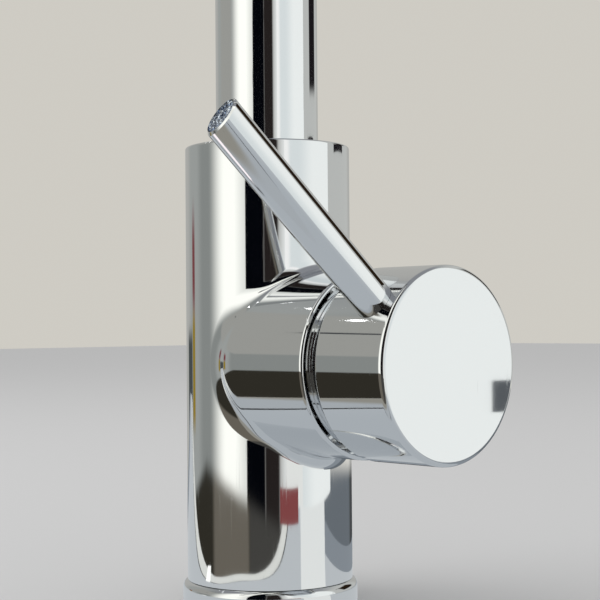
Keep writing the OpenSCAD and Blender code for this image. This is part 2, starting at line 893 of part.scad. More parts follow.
module cartridge_nut() {
    top = nut_x + cartridge_nut_h;
    color("darkgoldenrod")
        on_valve_axis()
            difference() {
                tube(nut_bore_d - 2 * thread_gap, neck_d + 2 * clear_gap, nut_x, top);
                for (turn = [0, 90])
                    rotate([0, 0, turn])
                        translate([-nut_bore_d, -spanner_slot_w / 2, top - spanner_slot_depth])
                            cube([2 * nut_bore_d, spanner_slot_w, spanner_slot_depth + cut]);
            }
}

module trim_ring() {
    seat_d = trim_bore_d - 2 * film_gap;
    step_x = housing_end - trim_step;
    top = housing_end + trim_proud;
    groove_x = (trim_floor + step_x) / 2;
    bevel = trim_step;
    color("gainsboro")
        on_valve_axis()
            difference() {
                rotate_extrude()
                    polygon([
                        [neck_d / 2 + clear_gap, trim_floor], [seat_d / 2, trim_floor],
                        [seat_d / 2, step_x], [trim_show_d / 2, step_x],
                        [trim_show_d / 2, top - bevel], [trim_show_d / 2 - bevel, top],
                        [neck_d / 2 + clear_gap, top]
                    ]);
                tube(seat_d + cut, seat_d - 2 * trim_oring_d - film_gap,
                     groove_x - trim_oring_d / 2 - film_gap, groove_x + trim_oring_d / 2 + film_gap);
            }
}

module trim_oring() {
    seat_d = trim_bore_d - 2 * film_gap;
    groove_x = (trim_floor + housing_end - trim_step) / 2;
    color("dimgray")
        on_valve_axis()
            torus((seat_d - trim_oring_d + film_gap) / 2, trim_oring_d, groove_x);
}

module handle_cap() {
    cap_r = cap_d / 2;
    socket_w = stem_square + 2 * film_gap;
    stud_end = cap_r - lever_seat - lever_stud_l;
    color("gainsboro")
        difference() {
            on_valve_axis()
                difference() {
                    union() {
                        difference() {
                            rotate_extrude()
                                polygon(concat(
                                    [[0, cap_x]],
                                    round_points([cap_r - cap_back_round, cap_x + cap_back_round],
                                                 cap_back_round, -90, 0),
                                    round_points([cap_r - cap_round, cap_front - cap_round],
                                                 cap_round, 0, 90),
                                    [[0, cap_front]]
                                ));
                            rod(cap_hollow_d, cap_x - cut, hollow_end);
                        }
                        rod(hub_d, hub_x, hollow_end + cut);
                    }
                    translate([-socket_w / 2, -socket_w / 2, hub_x - cut])
                        cube([socket_w, socket_w, stem_end + clear_gap - hub_x + cut]);
                }
            along_lever(lever_x) {
                rod(lever_d + 2 * film_gap, cap_r - lever_seat, cap_r + cut);
                rod(lever_stud_d + 2 * thread_gap, stud_end - clear_gap, cap_r);
            }
            along_lever(cap_screw_x, -1)
                rod(cap_screw_d + 2 * thread_gap, stem_square / 2, cap_r + cut);
        }
}

// Cone under the lever's slanted tip: it cuts a rod off on the slant and bevels its edge
module below_tip(face_d, setback) {
    h = 2 * lever_reach;
    translate([0, 0, lever_reach - setback])
        rotate([0, tip_slant, tip_turn])
            translate([0, 0, -h])
                cylinder(d1 = face_d + 2 * h, d2 = face_d, h = h);
}

module lever_pin() {
    r = lever_d / 2;
    seat = cap_d / 2 - lever_seat;
    end = lever_reach + r;
    color("gainsboro")
        along_lever(lever_x)
            difference() {
                intersection() {
                    rotate_extrude()
                        polygon([
                            [0, seat - lever_stud_l], [lever_stud_d / 2, seat - lever_stud_l],
                            [lever_stud_d / 2, seat], [r - lever_bevel, seat],
                            [r, seat + lever_bevel], [r, end], [0, end]
                        ]);
                    below_tip(lever_d - 2 * lever_bevel, 0);
                }
                rod(plug_d + 2 * film_gap, lever_reach - plug_l, end + cut);
            }
}

module lever_end_plug() {
    color("lightsteelblue")
        along_lever(lever_x)
            intersection() {
                rod(plug_d, lever_reach - plug_l, lever_reach + plug_d);
                below_tip(plug_d, plug_setback);
            }
}

module cap_screw() {
    low = stem_square / 2 + film_gap;
    end = low + cap_screw_l;
    color("silver")
        along_lever(cap_screw_x, -1)
            difference() {
                rod(cap_screw_d, low, end);
                hex_socket(cap_screw_d / 2, end, cap_screw_l / 2);
            }
}

body();
base_ring();
base_gasket();
mounting_shank();
rubber_washer();
steel_washer();
mounting_nut();
spout_tube();
spout_foot();
spout_orings();
spout_slip_ring();
spout_thrust_washer();
spout_stop_screw();
outlet_sleeve();
aerator_washer();
aerator_housing();
aerator_insert();
aerator_sieve();
cartridge_base();
port_seals();
fixed_disc();
moving_disc();
disc_carrier();
turning_collar();
valve_stem();
tilt_pin();
cartridge_shell();
cartridge_nut();
trim_ring();
trim_oring();
handle_cap();
lever_pin();
lever_end_plug();
cap_screw();
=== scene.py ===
# %% [markdown]
# A single-lever kitchen mixer tap in polished chrome.
#
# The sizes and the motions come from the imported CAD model, which this script loads as a
# fixed frame. What is made here is what a plain solid can't show: the soft hollow where the
# valve housing grows out of the body, the crystal-like plug in the lever's tip, threads,
# the mesh of the aerator, and finishes that catch the light as the real ones do.
#
# Each step has a text cell that says what the piece is and why it is made that way.

# %% Frame
import json
import math
from math import cos, pi, radians, sin

import bmesh
import bpy
from mathutils import Matrix, Vector
from mathutils.geometry import delaunay_2d_cdt

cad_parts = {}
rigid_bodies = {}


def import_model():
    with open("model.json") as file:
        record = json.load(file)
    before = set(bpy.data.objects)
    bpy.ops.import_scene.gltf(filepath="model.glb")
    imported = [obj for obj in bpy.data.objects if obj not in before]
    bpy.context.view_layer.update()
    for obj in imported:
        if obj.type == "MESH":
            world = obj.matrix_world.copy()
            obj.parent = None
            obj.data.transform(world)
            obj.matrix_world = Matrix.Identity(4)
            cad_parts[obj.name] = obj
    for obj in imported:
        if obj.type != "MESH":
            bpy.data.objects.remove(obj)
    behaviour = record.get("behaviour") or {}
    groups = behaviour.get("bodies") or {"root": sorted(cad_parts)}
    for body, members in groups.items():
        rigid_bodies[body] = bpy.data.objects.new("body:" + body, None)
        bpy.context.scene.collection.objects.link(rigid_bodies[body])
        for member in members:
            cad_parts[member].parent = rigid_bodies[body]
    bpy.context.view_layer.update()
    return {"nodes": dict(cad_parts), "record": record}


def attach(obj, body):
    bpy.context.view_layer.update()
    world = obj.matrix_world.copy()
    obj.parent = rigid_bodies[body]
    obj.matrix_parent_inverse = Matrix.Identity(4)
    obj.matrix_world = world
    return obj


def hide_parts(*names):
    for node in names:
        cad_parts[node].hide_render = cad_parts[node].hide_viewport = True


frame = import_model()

nodes = frame["nodes"]
MM = 0.001
RIGHT, UP = Vector((1, 0, 0)), Vector((0, 0, 1))

# %% [markdown]
# ## Shader maths
#
# A finish is a small sum of patterns. Written as Python expressions it stays readable:
# this class wraps a socket, and adding or multiplying two of them adds a Math node.
# Every other node comes from one function that takes its kind, inputs and settings.

# %% A socket that can be used in sums
class Wire:
    def __init__(self, tree, socket):
        self.tree, self.socket = tree, socket

    def maths(self, operation, *others):
        """A Math node whose first value is this wire."""
        return maths(self.tree, operation, self, *others)

    def __add__(self, other): return self.maths("ADD", other)
    def __radd__(self, other): return maths(self.tree, "ADD", other, self)
    def __sub__(self, other): return self.maths("SUBTRACT", other)
    def __rsub__(self, other): return maths(self.tree, "SUBTRACT", other, self)
    def __mul__(self, other): return self.maths("MULTIPLY", other)
    def __rmul__(self, other): return maths(self.tree, "MULTIPLY", other, self)
    def __truediv__(self, other): return self.maths("DIVIDE", other)

    def step(self, low, high):
        """0 below low, 1 above high, and a smooth rise between them."""
        return node(self.tree, "ShaderNodeMapRange",
                    {"Value": self, "From Min": low, "From Max": high}, interpolation_type="SMOOTHSTEP")


def node(tree, kind, inputs=None, output=0, **settings):
    """A new node, with values or links for its sockets. Returns one of its outputs."""
    made = tree.nodes.new(kind)
    for name, value in settings.items():
        setattr(made, name, value)
    for name, value in (inputs or {}).items():
        if isinstance(value, Wire):
            tree.links.new(value.socket, made.inputs[name])
        else:
            made.inputs[name].default_value = value
    return Wire(tree, made.outputs[output]) if made.outputs else None


def maths(tree, operation, *values):
    return node(tree, "ShaderNodeMath", dict(enumerate(values)), operation=operation)


# %% Helpers for trees and finishes
def xyz(tree, x=0.0, y=0.0, z=0.0):
    """A vector put together from its parts."""
    return node(tree, "ShaderNodeCombineXYZ", {"X": x, "Y": y, "Z": z})


def part_of(tree, vector, axis):
    """One of a vector's parts."""
    return node(tree, "ShaderNodeSeparateXYZ", {"Vector": vector}, axis)


def new_material(name):
    """An empty material, and its tree."""
    material = bpy.data.materials.new(name)
    material.use_nodes = True
    material.node_tree.nodes.clear()
    return material, material.node_tree


def surface(tree, shader):
    """Ends a material's tree in its surface."""
    node(tree, "ShaderNodeOutputMaterial", {"Surface": shader})


def principled(tree, inputs):
    """Ends a material's tree in a Principled surface."""
    surface(tree, node(tree, "ShaderNodeBsdfPrincipled", inputs))


def bump(tree, strength, distance, height):
    return node(tree, "ShaderNodeBump", {"Strength": strength, "Distance": distance, "Height": height})


def here(tree, scale=(1, 1, 1), turn=(0, 0, 0)):
    """The point on the object, in metres, stretched and turned for a pattern."""
    place = node(tree, "ShaderNodeTexCoord", output="Object")
    return node(tree, "ShaderNodeMapping", {"Vector": place, "Scale": scale, "Rotation": turn})


def noise(tree, place, scale, detail=3.0, rough=0.5):
    return node(tree, "ShaderNodeTexNoise",
                {"Vector": place, "Scale": scale, "Detail": detail, "Roughness": rough})


def tinted(colour):
    """A colour for a socket: a wire as it is, a plain colour made solid."""
    return colour if isinstance(colour, Wire) else (*colour, 1)


def blend(tree, share, first, second):
    """A colour between two, each a wire or a plain colour."""
    inputs = {0: share, 6: tinted(first), 7: tinted(second)}
    return node(tree, "ShaderNodeMix", inputs, 2, data_type="RGBA")


# %% [markdown]
# ## Chrome
#
# Chrome plate is a mirror, so nearly all that shows in it is the room. What tells a real
# tap from a perfect mirror is small: a faint haze where a cloth has wiped it, and hairline
# scratches that only show where something dark is mirrored. Both go into the roughness,
# and the scratches also tilt the surface a very little.

# %% Chrome finish
def chrome(name, tint):
    material, tree = new_material(name)
    wipe = noise(tree, here(tree, (1, 1, 0.25), (0.3, 0.2, 0)), 90.0, 4.0, 0.6).step(0.35, 0.8)
    spots = noise(tree, here(tree), 900.0, 2.0).step(0.66, 0.74)
    hair_a = noise(tree, here(tree, (1, 1, 0.02), (0.5, 0.9, 0.2)), 2600.0, 1.0).step(0.69, 0.74)
    hair_b = noise(tree, here(tree, (1, 1, 0.02), (-0.7, 0.4, 1.1)), 2200.0, 1.0).step(0.70, 0.75)
    hair = hair_a + hair_b
    principled(tree, {
        "Base Color": (*tint, 1), "Metallic": 1.0,
        "Roughness": 0.035 + wipe * 0.03 + spots * 0.02 + hair * 0.05,
        "Normal": bump(tree, 0.03, 0.00002, hair)})
    return material


finish_of = {
    "chrome_body": chrome("chrome body", (0.83, 0.84, 0.85)),
    "chrome_trim": chrome("chrome trim", (0.82, 0.83, 0.84)),
    "chrome_spout": chrome("chrome spout", (0.84, 0.85, 0.86)),
    "chrome_handle": chrome("chrome handle", (0.83, 0.84, 0.85))}
print("chrome finishes:", *finish_of)

# %% [markdown]
# ## Bare metals
#
# Brass, zinc-plated steel and stainless steel are left as they come from the machine.
# Stretched noise stands for the fine tool marks, a slow noise for the uneven dull film that
# handling leaves, and small specks for pits. The same recipe serves all of them.

# %% Bare metal finishes
def bare_metal(name, colour, dull, roughness, film):
    """A machined metal: `dull` is its colour under the film, `film` how much of it lies on it."""
    material, tree = new_material(name)
    marks = noise(tree, here(tree, (0.05, 0.05, 1)), 9000.0, 2.0, 0.6)
    cloud = noise(tree, here(tree), 140.0, 4.0, 0.6)
    pits = noise(tree, here(tree), 2600.0, 2.0).step(0.68, 0.76)
    principled(tree, {
        "Base Color": blend(tree, cloud.step(0.35, 0.75) * film + pits * 0.4, colour, dull),
        "Metallic": 1.0, "Roughness": roughness + cloud * 0.16 + pits * 0.15,
        "Normal": bump(tree, 0.25, 0.00004, marks - pits * 0.6)})
    return material


for slot, *recipe in (
        ("raw_brass", "raw brass", (0.74, 0.53, 0.24), (0.50, 0.34, 0.16), 0.20, 0.7),
        ("zinc_steel", "zinc plated steel", (0.66, 0.68, 0.71), (0.48, 0.50, 0.50), 0.26, 0.8),
        ("steel_screw", "stainless steel", (0.62, 0.62, 0.61), (0.47, 0.47, 0.46), 0.20, 0.4)):
    finish_of[slot] = bare_metal(*recipe)

# %% [markdown]
# ## Rubber, plastics and ceramic
#
# Black rubber is dull with a little bloom; moulded acetal has a soft sheen, a very fine
# grain from its mould and a slightly uneven tone; sintered ceramic is finer still.

# %% Moulded finishes
def moulded(name, colour, shade, roughness, grain, depth):
    """A moulded surface between two tones, with grain of `grain` bumps a metre."""
    material, tree = new_material(name)
    cloud = noise(tree, here(tree), 160.0, 3.0, 0.55)
    fine = noise(tree, here(tree), grain, 2.0, 0.6)
    principled(tree, {
        "Base Color": blend(tree, cloud.step(0.3, 0.7), colour, shade),
        "Roughness": roughness + fine * 0.12, "Normal": bump(tree, 0.3, depth, fine)})
    return material


for name, *recipe in (
        ("black rubber", (0.018, 0.018, 0.019), (0.035, 0.035, 0.034), 0.52, 2200.0, 0.00006),
        ("grey acetal", (0.36, 0.37, 0.38), (0.42, 0.43, 0.44), 0.34, 3000.0, 0.00002),
        ("white acetal", (0.78, 0.78, 0.76), (0.70, 0.70, 0.67), 0.32, 3000.0, 0.00002),
        ("blue-grey acetal", (0.20, 0.26, 0.33), (0.25, 0.31, 0.38), 0.34, 3000.0, 0.00002),
        ("white ceramic", (0.86, 0.86, 0.84), (0.80, 0.80, 0.77), 0.10, 6000.0, 0.000006)):
    finish_of[name.replace(" ", "_").replace("-", "_")] = moulded(name, *recipe)

# %% [markdown]
# ## The lever's plug
#
# The plug in the lever's tip glitters like crushed crystal under clear lacquer: a bluish
# metal whose small facets each mirror another part of the room. The facets are geometry;
# the finish varies their tone from facet to facet.

# %% Plug finish
finish_of["textured_plug"], tree = new_material("plug glitter")
facets = node(tree, "ShaderNodeTexVoronoi", {"Vector": here(tree), "Scale": 1500.0}, "Color")
tone = node(tree, "ShaderNodeSeparateColor", {"Color": facets}, "Red")
principled(tree, {
    "Base Color": blend(tree, tone.step(0.1, 0.8), (0.20, 0.27, 0.42), (0.86, 0.92, 1.0)),
    "Metallic": 1.0, "Roughness": 0.10 + tone * 0.2, "Normal": bump(tree, 0.8, 0.0001, tone)})

# %% [markdown]
# ## Finishes by slot
#
# The record gives each CAD node a material slot, and each slot has one finish here. The
# CAD's own meshes wear it too, so what stays as it was packed matches the new pieces.

# %% Finishes of the CAD's own nodes
slot_of = {part["node"]: part["material_slot"] for part in frame["record"]["subparts"]}
for name, obj in nodes.items():
    obj.data.materials.clear()
    obj.data.materials.append(finish_of[slot_of[name]])
print("finishes:", len(finish_of))

# %% [markdown]
# ## Meshes with exact normals
#
# Polished metal mirrors its surroundings, so the smallest error in a normal shows as a
# wobble in a reflection. Smooth shading alone averages the normals at each corner, which
# bends the light next to every rounded edge. Here each face keeps the true normal of its
# own surface at each corner. `Skin` collects such faces in millimetres, turns each one to
# face outwards, merges their corners and hands the normals to Blender. Each new piece is
# handed over with the body that moves it, its slot and the CAD node that it stands for.

# %% Objects and their hand-over
def hand_over(piece, body, slot, *replaced):
    """Says what moves a piece and which CAD nodes it stands for. Its slot is not used."""
    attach(piece, body)
    if replaced:
        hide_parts(*replaced)


def put(name, data):
    """A new object in the scene."""
    piece = bpy.data.objects.new(name, data)
    bpy.context.scene.collection.objects.link(piece)
    return piece


def poured(work, mesh):
    """Moves a bmesh into a mesh, and prints how whole it is."""
    open_edges = sum(not edge.is_manifold for edge in work.edges)
    print(f"{mesh.name}: {len(work.faces)} faces, {open_edges} open edges")
    work.to_mesh(mesh)
    work.free()


# %% A collector of faces
def arc(pivot, radius, first, second, low, high, steps):
    """Corners along a rounding, between two angles counted from one direction to another."""
    corners = []
    for k in range(steps + 1):
        angle = low + (high - low) * k / steps
        normal = first * cos(angle) + second * sin(angle)
        corners.append((pivot + normal * radius, normal))
    return corners


class Skin:
    def __init__(self):
        self.faces = []

    def face(self, *corners):
        """One face. Its corners are pairs of a point and the surface's normal there."""
        points = [point for point, _ in corners]
        kept = [c for i, c in enumerate(corners) if (c[0] - points[i - 1]).length > 1e-6]
        if len(kept) < 3:
            return
        across = (kept[1][0] - kept[0][0]).cross(kept[2][0] - kept[0][0])
        outwards = sum((normal for _, normal in kept), Vector())
        self.faces.append(kept if across.dot(outwards) > 0 else kept[::-1])

    def add(self, faces):
        for corners in faces:
            self.face(*corners)

    def grid(self, rows, closed=True):
        """Quads between rows of corners, each row a closed ring if `closed`."""
        for low, high in zip(rows, rows[1:]):
            for i in range(len(low) if closed else len(low) - 1):
                j = (i + 1) % len(low)
                self.face(low[i], low[j], high[j], high[i])

    def fan(self, ring, hub, normal):
        """Flat triangles between a ring and the point in its middle."""
        for a, b in zip(ring, ring[1:] + ring[:1]):
            self.face((hub, normal), (a, normal), (b, normal))

    def rounded_end(self, ring, radius, height, size, way, steps):
        """A quarter round from a cylinder's end to its flat face. Returns its inner ring."""
        columns = []
        for point in ring:
            out = Vector((point.x, point.y, 0)).normalized()
            columns.append(arc(out * (radius - size) + UP * height, size, out, UP * way, 0, pi / 2, steps))
        self.grid(list(zip(*columns)))
        return [column[-1][0] for column in columns]

    def stitch(self, ring_a, ring_b, normal, angle):
        """Flat triangles between two rings that go round the same axis."""
        rings = [sorted(ring, key=angle) for ring in (ring_a, ring_b)]
        turns = [[angle(p) for p in ring] + [angle(ring[0]) + 2 * pi] for ring in rings]
        at = [0, 0]
        while at[0] < len(rings[0]) or at[1] < len(rings[1]):
            done = [at[k] >= len(rings[k]) for k in (0, 1)]
            step = 1 if done[0] or (not done[1] and turns[1][at[1] + 1] < turns[0][at[0] + 1]) else 0
            now = [rings[k][at[k] % len(rings[k])] for k in (0, 1)]
            at[step] += 1
            after = rings[step][at[step] % len(rings[step])]
            self.face((now[0], normal), (now[1], normal), (after, normal))

    def build(self, name, body, slot, stands_for, place=None):
        """Makes the mesh object, with its place in its mesh, and hands it over."""
        place = place or Matrix()
        turn = place.to_3x3()
        work = bmesh.new()
        true_normal = work.loops.layers.float_vector.new("true normal")
        made = {}
        for corners in self.faces:
            verts = []
            for point, _ in corners:
                key = tuple(round(c * 1e4) for c in point)
                if key not in made:
                    made[key] = work.verts.new(place @ point * MM)
                verts.append(made[key])
            if len(set(verts)) == len(verts):
                face = work.faces.new(verts)
                face.smooth = True
                for loop, (_, normal) in zip(face.loops, corners):
                    loop[true_normal] = turn @ normal
        bmesh.ops.remove_doubles(work, verts=work.verts, dist=1e-6)
        mesh = bpy.data.meshes.new(name)
        poured(work, mesh)
        layer = mesh.attributes["true normal"]
        normals = [Vector(item.vector).normalized() for item in layer.data]
        mesh.attributes.remove(layer)
        mesh.normals_split_custom_set(normals)
        mesh.materials.append(finish_of[slot])
        hand_over(put(name, mesh), body, slot, stands_for)


# %% [markdown]
# ## Turned pieces
#
# Most of a tap is turned on a lathe: rings, the cap's rim, the lever. A turned piece is
# described by its half outline, walked with the metal on the left, each corner with the
# radius of its rounding. Real edges are never knife-sharp, and it is the thin highlight on
# a small rounding that makes an edge look like metal.

# %% Outline and lathe
def outline(corners, steps=6):
    """Strips of (point, normal) pairs along a closed outline with rounded corners."""
    strips, ends = [], []
    spots = [Vector(corner[:2]) for corner in corners]
    for i, corner in enumerate(corners):
        spot = spots[i]
        into = (spot - spots[i - 1]).normalized()
        out = (spots[(i + 1) % len(spots)] - spot).normalized()
        radius = corner[2] if len(corner) > 2 else 0.0
        turn = math.atan2(into.x * out.y - into.y * out.x, into.dot(out))
        trim = radius * math.tan(abs(turn) / 2)
        side = 1 if turn > 0 else -1
        normal = Vector((into.y, -into.x))
        first = spot - into * trim
        centre = first - normal * radius * side
        if radius:
            ways = [Matrix.Rotation(turn * k / steps, 2) @ normal for k in range(steps + 1)]
            strips.append([(centre + way * radius * side, way) for way in ways])
        ends.append((first, spot + out * trim, Vector((out.y, -out.x))))
    for (_, start, normal), (stop, _, _) in zip(ends, ends[1:] + ends[:1]):
        if max(start.x, stop.x) > 1e-6:
            strips.append([(start, normal), (stop, normal)])
    return strips


def spin(skin, strips, count=128):
    """Turns strips of an outline round the Z axis."""
    ways = [(cos(2 * pi * k / count), sin(2 * pi * k / count)) for k in range(count)]
    for strip in strips:
        skin.grid([[(Vector((point.x * c, point.x * s, point.y)),
                     Vector((normal.x * c, normal.x * s, normal.y))) for c, s in ways]
                   for point, normal in strip])


def turned_part(name, slot, stands_for, corners, place=None, count=128, steps=6):
    """A turned piece of the tap's fixed body."""
    skin = Skin()
    spin(skin, outline(corners, steps), count)
    skin.build(name, "tap_body", slot, stands_for, place)


# Frames of the handle, whose Z is the housing's axis, and of the lever on its side.
valve_height, lever_lean, lever_place = 65.0, radians(50), 57.7
valve_axis = (Matrix.Translation((0, 0, valve_height)) @ Matrix.Rotation(lever_lean, 4, "X")
              @ Matrix.Rotation(pi / 2, 4, "Y") @ Matrix.Rotation(pi, 4, "Z"))
lever_axis = valve_axis @ Matrix.Translation((0, 0, lever_place)) @ Matrix.Rotation(pi / 2, 4, "Y")


# %% [markdown]
# ## Surfaces with holes
#
# The body's side and the cap's side are cylinders with holes. A cylinder unrolls flat
# without stretching, so the side is laid out as a flat sheet, its holes are cut there by a
# constrained triangulation, and the sheet is rolled up again with exact normals. The rims
# of the holes come from the CAD's own inner surfaces, so the two fit point for point.

# %% Inner surfaces of a CAD node
def rims_of(work):
    """The closed loops of edges that have a face on one side only."""
    after = {}
    for edge in work.edges:
        if edge.is_boundary:
            loop = edge.link_loops[0]
            after[loop.vert] = loop.link_loop_next.vert
    rims = []
    while after:
        start, at = after.popitem()
        rim = [start.co / MM]
        while at is not start:
            rim.append(at.co / MM)
            at = after.pop(at)
        rims.append(rim)
    return rims


def inner_faces(name, is_outer):
    """The CAD faces with a corner that `is_outer` doesn't claim, and the rims that they leave."""
    data = nodes[name].data
    normals = [Vector(item.vector) for item in data.corner_normals]
    work = bmesh.new()
    kept = []
    for polygon in data.polygons:
        corners = [(data.vertices[data.loops[i].vertex_index].co / MM, normals[i])
                   for i in polygon.loop_indices]
        if not all(is_outer(*corner) for corner in corners):
            kept.append(corners)
            work.faces.new([work.verts.new(point * MM) for point, _ in corners])
    bmesh.ops.remove_doubles(work, verts=work.verts, dist=2e-6)
    rims = rims_of(work)
    work.free()
    return kept, rims


# %% The drilled side of a cylinder
def inside(spot, loop):
    """Whether a flat point lies inside a closed loop."""
    found = False
    for a, b in zip(loop, loop[1:] + loop[:1]):
        if (a.y > spot.y) != (b.y > spot.y):
            if spot.x < a.x + (b.x - a.x) * (spot.y - a.y) / (b.y - a.y):
                found = not found
    return found


def drilled_side(skin, radius, low, high, columns, rows, holes, seam):
    """The side of a cylinder round the Z axis, with holes whose rims lie on it."""
    def unroll(point):
        return Vector((radius * ((math.atan2(point.y, point.x) - seam) % (2 * pi)), point.z))

    spots, solid, fixed = [], [], []

    def add(spot, point=None):
        angle = spot.x / radius + seam
        spots.append(spot)
        solid.append(point or Vector((radius * cos(angle), radius * sin(angle), spot.y)))
        return len(spots) - 1

    width = 2 * pi * radius
    loops = [[unroll(point) for point in rim] for rim in holes]
    boxes = [(min(s.x for s in loop), max(s.x for s in loop),
              min(s.y for s in loop), max(s.y for s in loop)) for loop in loops]
    for rim, loop in zip(holes, loops):
        ring = [add(spot, point) for spot, point in zip(loop, rim)]
        fixed += list(zip(ring, ring[1:] + ring[:1]))
    cell = width / columns
    index = {}
    for i in range(columns + 1):
        for j in range(rows + 1):
            spot = Vector((width * i / columns, low + (high - low) * j / rows))
            near = False
            for loop, (x0, x1, y0, y1) in zip(loops, boxes):
                if x0 - cell < spot.x < x1 + cell and y0 - cell < spot.y < y1 + cell:
                    near = near or inside(spot, loop) or min((spot - s).length for s in loop) < cell / 2
            if not near or i in (0, columns) or j in (0, rows):
                index[i, j] = add(spot)
    for i in range(columns):
        fixed += [(index[i, j], index[i + 1, j]) for j in (0, rows)]
    for j in range(rows):
        fixed += [(index[i, j], index[i, j + 1]) for i in (0, columns)]
    result = delaunay_2d_cdt(spots, fixed, [], 0, 1e-5, True)
    origin = [ids[0] for ids in result[3]]
    for triangle in result[2]:
        flat = sum((result[0][k] for k in triangle), Vector((0, 0))) / 3
        hit = any(x0 < flat.x < x1 and y0 < flat.y < y1 and inside(flat, loop)
                  for loop, (x0, x1, y0, y1) in zip(loops, boxes))
        if not hit:
            points = [solid[origin[k]] for k in triangle]
            skin.face(*((p, Vector((p.x, p.y, 0)).normalized()) for p in points))
    return [[solid[index[i, j]] for i in range(columns)] for j in (0, rows)]


# %% [markdown]
# ## The casting
#
# The upright body and the valve housing are one casting, polished as one. Where the
# housing grows out of the body, the polisher's wheel leaves a soft hollow, about as if a
# ball had been rolled along the corner, and the reflections flow through it. The CAD body
# has a sharp corner there. A bevel modifier can't follow two crossing cylinders cleanly,
# so the hollow is worked out here as what it is: the path of a ball that touches both.
# At the housing's sides the ball is larger and the housing's back edge is softer.

# %% Path of the ball
body_radius, housing_radius = 22.5, 24.5
shoulder, side_shift, housing_front, housing_round = 12.0, 1.5, 38.8, 1.0
body_low, body_top, body_round, screw_place = 6.5, 123.8, 0.6, 105
trim_bore_radius, socket_radius = 22.6, 16.55
turns_round_housing, hollow_steps, side_steps, edge_steps = 288, 12, 12, 6
# Radii of the back edge and of the ball at top and bottom, and what the sides add to them.
least_back_round, more_back_round, least_ball, more_ball = 7.0, 9.0, 3.5, 8.5


def back_edge(lean):
    """Start and radius of the rounded back edge and radius of the ball, softer at the sides."""
    share = min(1.0, max(0.0, (abs(cos(lean)) - 0.6) / 0.4))
    share = share * share * (3 - 2 * share)
    return (shoulder + side_shift * share, least_back_round + more_back_round * share,
            least_ball + more_ball * share)


def ball_at(lean, beta):
    """Ball centre for a lean round the housing and an angle on its rounded back edge."""
    start, back_round, ball_radius = back_edge(lean)
    reach = ball_radius + back_round
    return start - reach * cos(beta), housing_radius - back_round + reach * sin(beta)


def contact(lean):
    """Ball centre, touching points on body and housing, for one lean round the housing."""
    far = body_radius + back_edge(lean)[2]
    x, q = ball_at(lean, pi / 2)
    if x * x + (q * cos(lean)) ** 2 > far * far:
        low, high = 0.0, pi / 2
        for _ in range(40):
            beta = (low + high) / 2
            x, q = ball_at(lean, beta)
            low, high = (beta, high) if x * x + (q * cos(lean)) ** 2 < far * far else (low, beta)
    else:
        beta = pi / 2
        x = math.sqrt(far * far - (q * cos(lean)) ** 2)
    centre = Vector((x, q * cos(lean), valve_height + q * sin(lean)))
    to_body = -Vector((centre.x, centre.y, 0)).normalized()
    out = Vector((0, cos(lean), sin(lean)))
    to_housing = Vector((cos(beta), 0, 0)) - out * sin(beta)
    return centre, to_body, to_housing, beta


# %% Inner faces of the casting
touch = 0.02


def on_side(offset, normal, radius):
    """Whether a point, given by its offset from an axis, lies on a cylinder's outside."""
    return abs(offset.length - radius) < touch and normal.dot(offset) > 0.9 * offset.length


def is_body_outside(point, normal):
    flat = Vector((point.x, point.y, 0))
    axial = Vector((0, point.y, point.z - valve_height))
    return any((
        on_side(flat, normal, body_radius),
        point.z > body_top - body_round - touch and normal.z > 0.3,
        point.z < body_low + touch and normal.z < -0.5 and flat.length > socket_radius - 0.1,
        on_side(axial, normal, housing_radius),
        point.x < shoulder + side_shift + touch and axial.length > 20
        and flat.length > body_radius - touch,
        point.x > housing_front - housing_round - touch and normal.x > 0.05
        and axial.length > trim_bore_radius - 0.1))


def turn_about_z(point):
    return math.atan2(point.y, point.x)


def turn_about_valve(point):
    return math.atan2(point.z - valve_height, point.y)


def rim_near(rims, x, y, z):
    """The rim whose middle is closest to a point."""
    return min(rims, key=lambda rim: (sum(rim, Vector()) / len(rim) - Vector((x, y, z))).length)


kept, rims = inner_faces("body", is_body_outside)
casting_skin = Skin()
casting_skin.add(kept)
trim_rim = rim_near(rims, housing_front, 0, valve_height)
spout_rim = rim_near(rims, 0, 0, body_top)
socket_rim = rim_near(rims, 0, 0, body_low)
screw_rim = rim_near(rims, 0, body_radius, screw_place)
print("kept from the CAD body:", len(kept), "faces and", len(rims), "rims")

# %% Outer surfaces of the casting
hollow, housing_rows = [], []
axis, stop = UP * valve_height, housing_front - housing_round
for lean in (2 * pi * k / turns_round_housing for k in range(turns_round_housing)):
    centre, to_body, to_housing, beta = contact(lean)
    start, back_round, ball_radius = back_edge(lean)
    spread = to_body.angle(to_housing)
    strip = []
    for k in range(hollow_steps + 1):
        share = k / hollow_steps
        way = (to_body * sin(spread * (1 - share)) + to_housing * sin(spread * share)) / sin(spread)
        strip.append((centre + way * ball_radius, -way))
    hollow.append(strip)

    out = Vector((0, cos(lean), sin(lean)))
    if beta < pi / 2:
        pivot = axis + out * (housing_radius - back_round) + RIGHT * start
        row = arc(pivot, back_round, -RIGHT, out, beta, pi / 2, edge_steps)
    else:
        start = centre.x
        row = [(axis + out * housing_radius + RIGHT * start, out)] * (edge_steps + 1)
    row += [(axis + out * housing_radius + RIGHT * (start + (stop - start) * k / side_steps), out)
            for k in range(1, side_steps + 1)]
    pivot = axis + out * (housing_radius - housing_round) + RIGHT * stop
    row += arc(pivot, housing_round, out, RIGHT, 0, pi / 2, edge_steps)
    housing_rows.append(row)

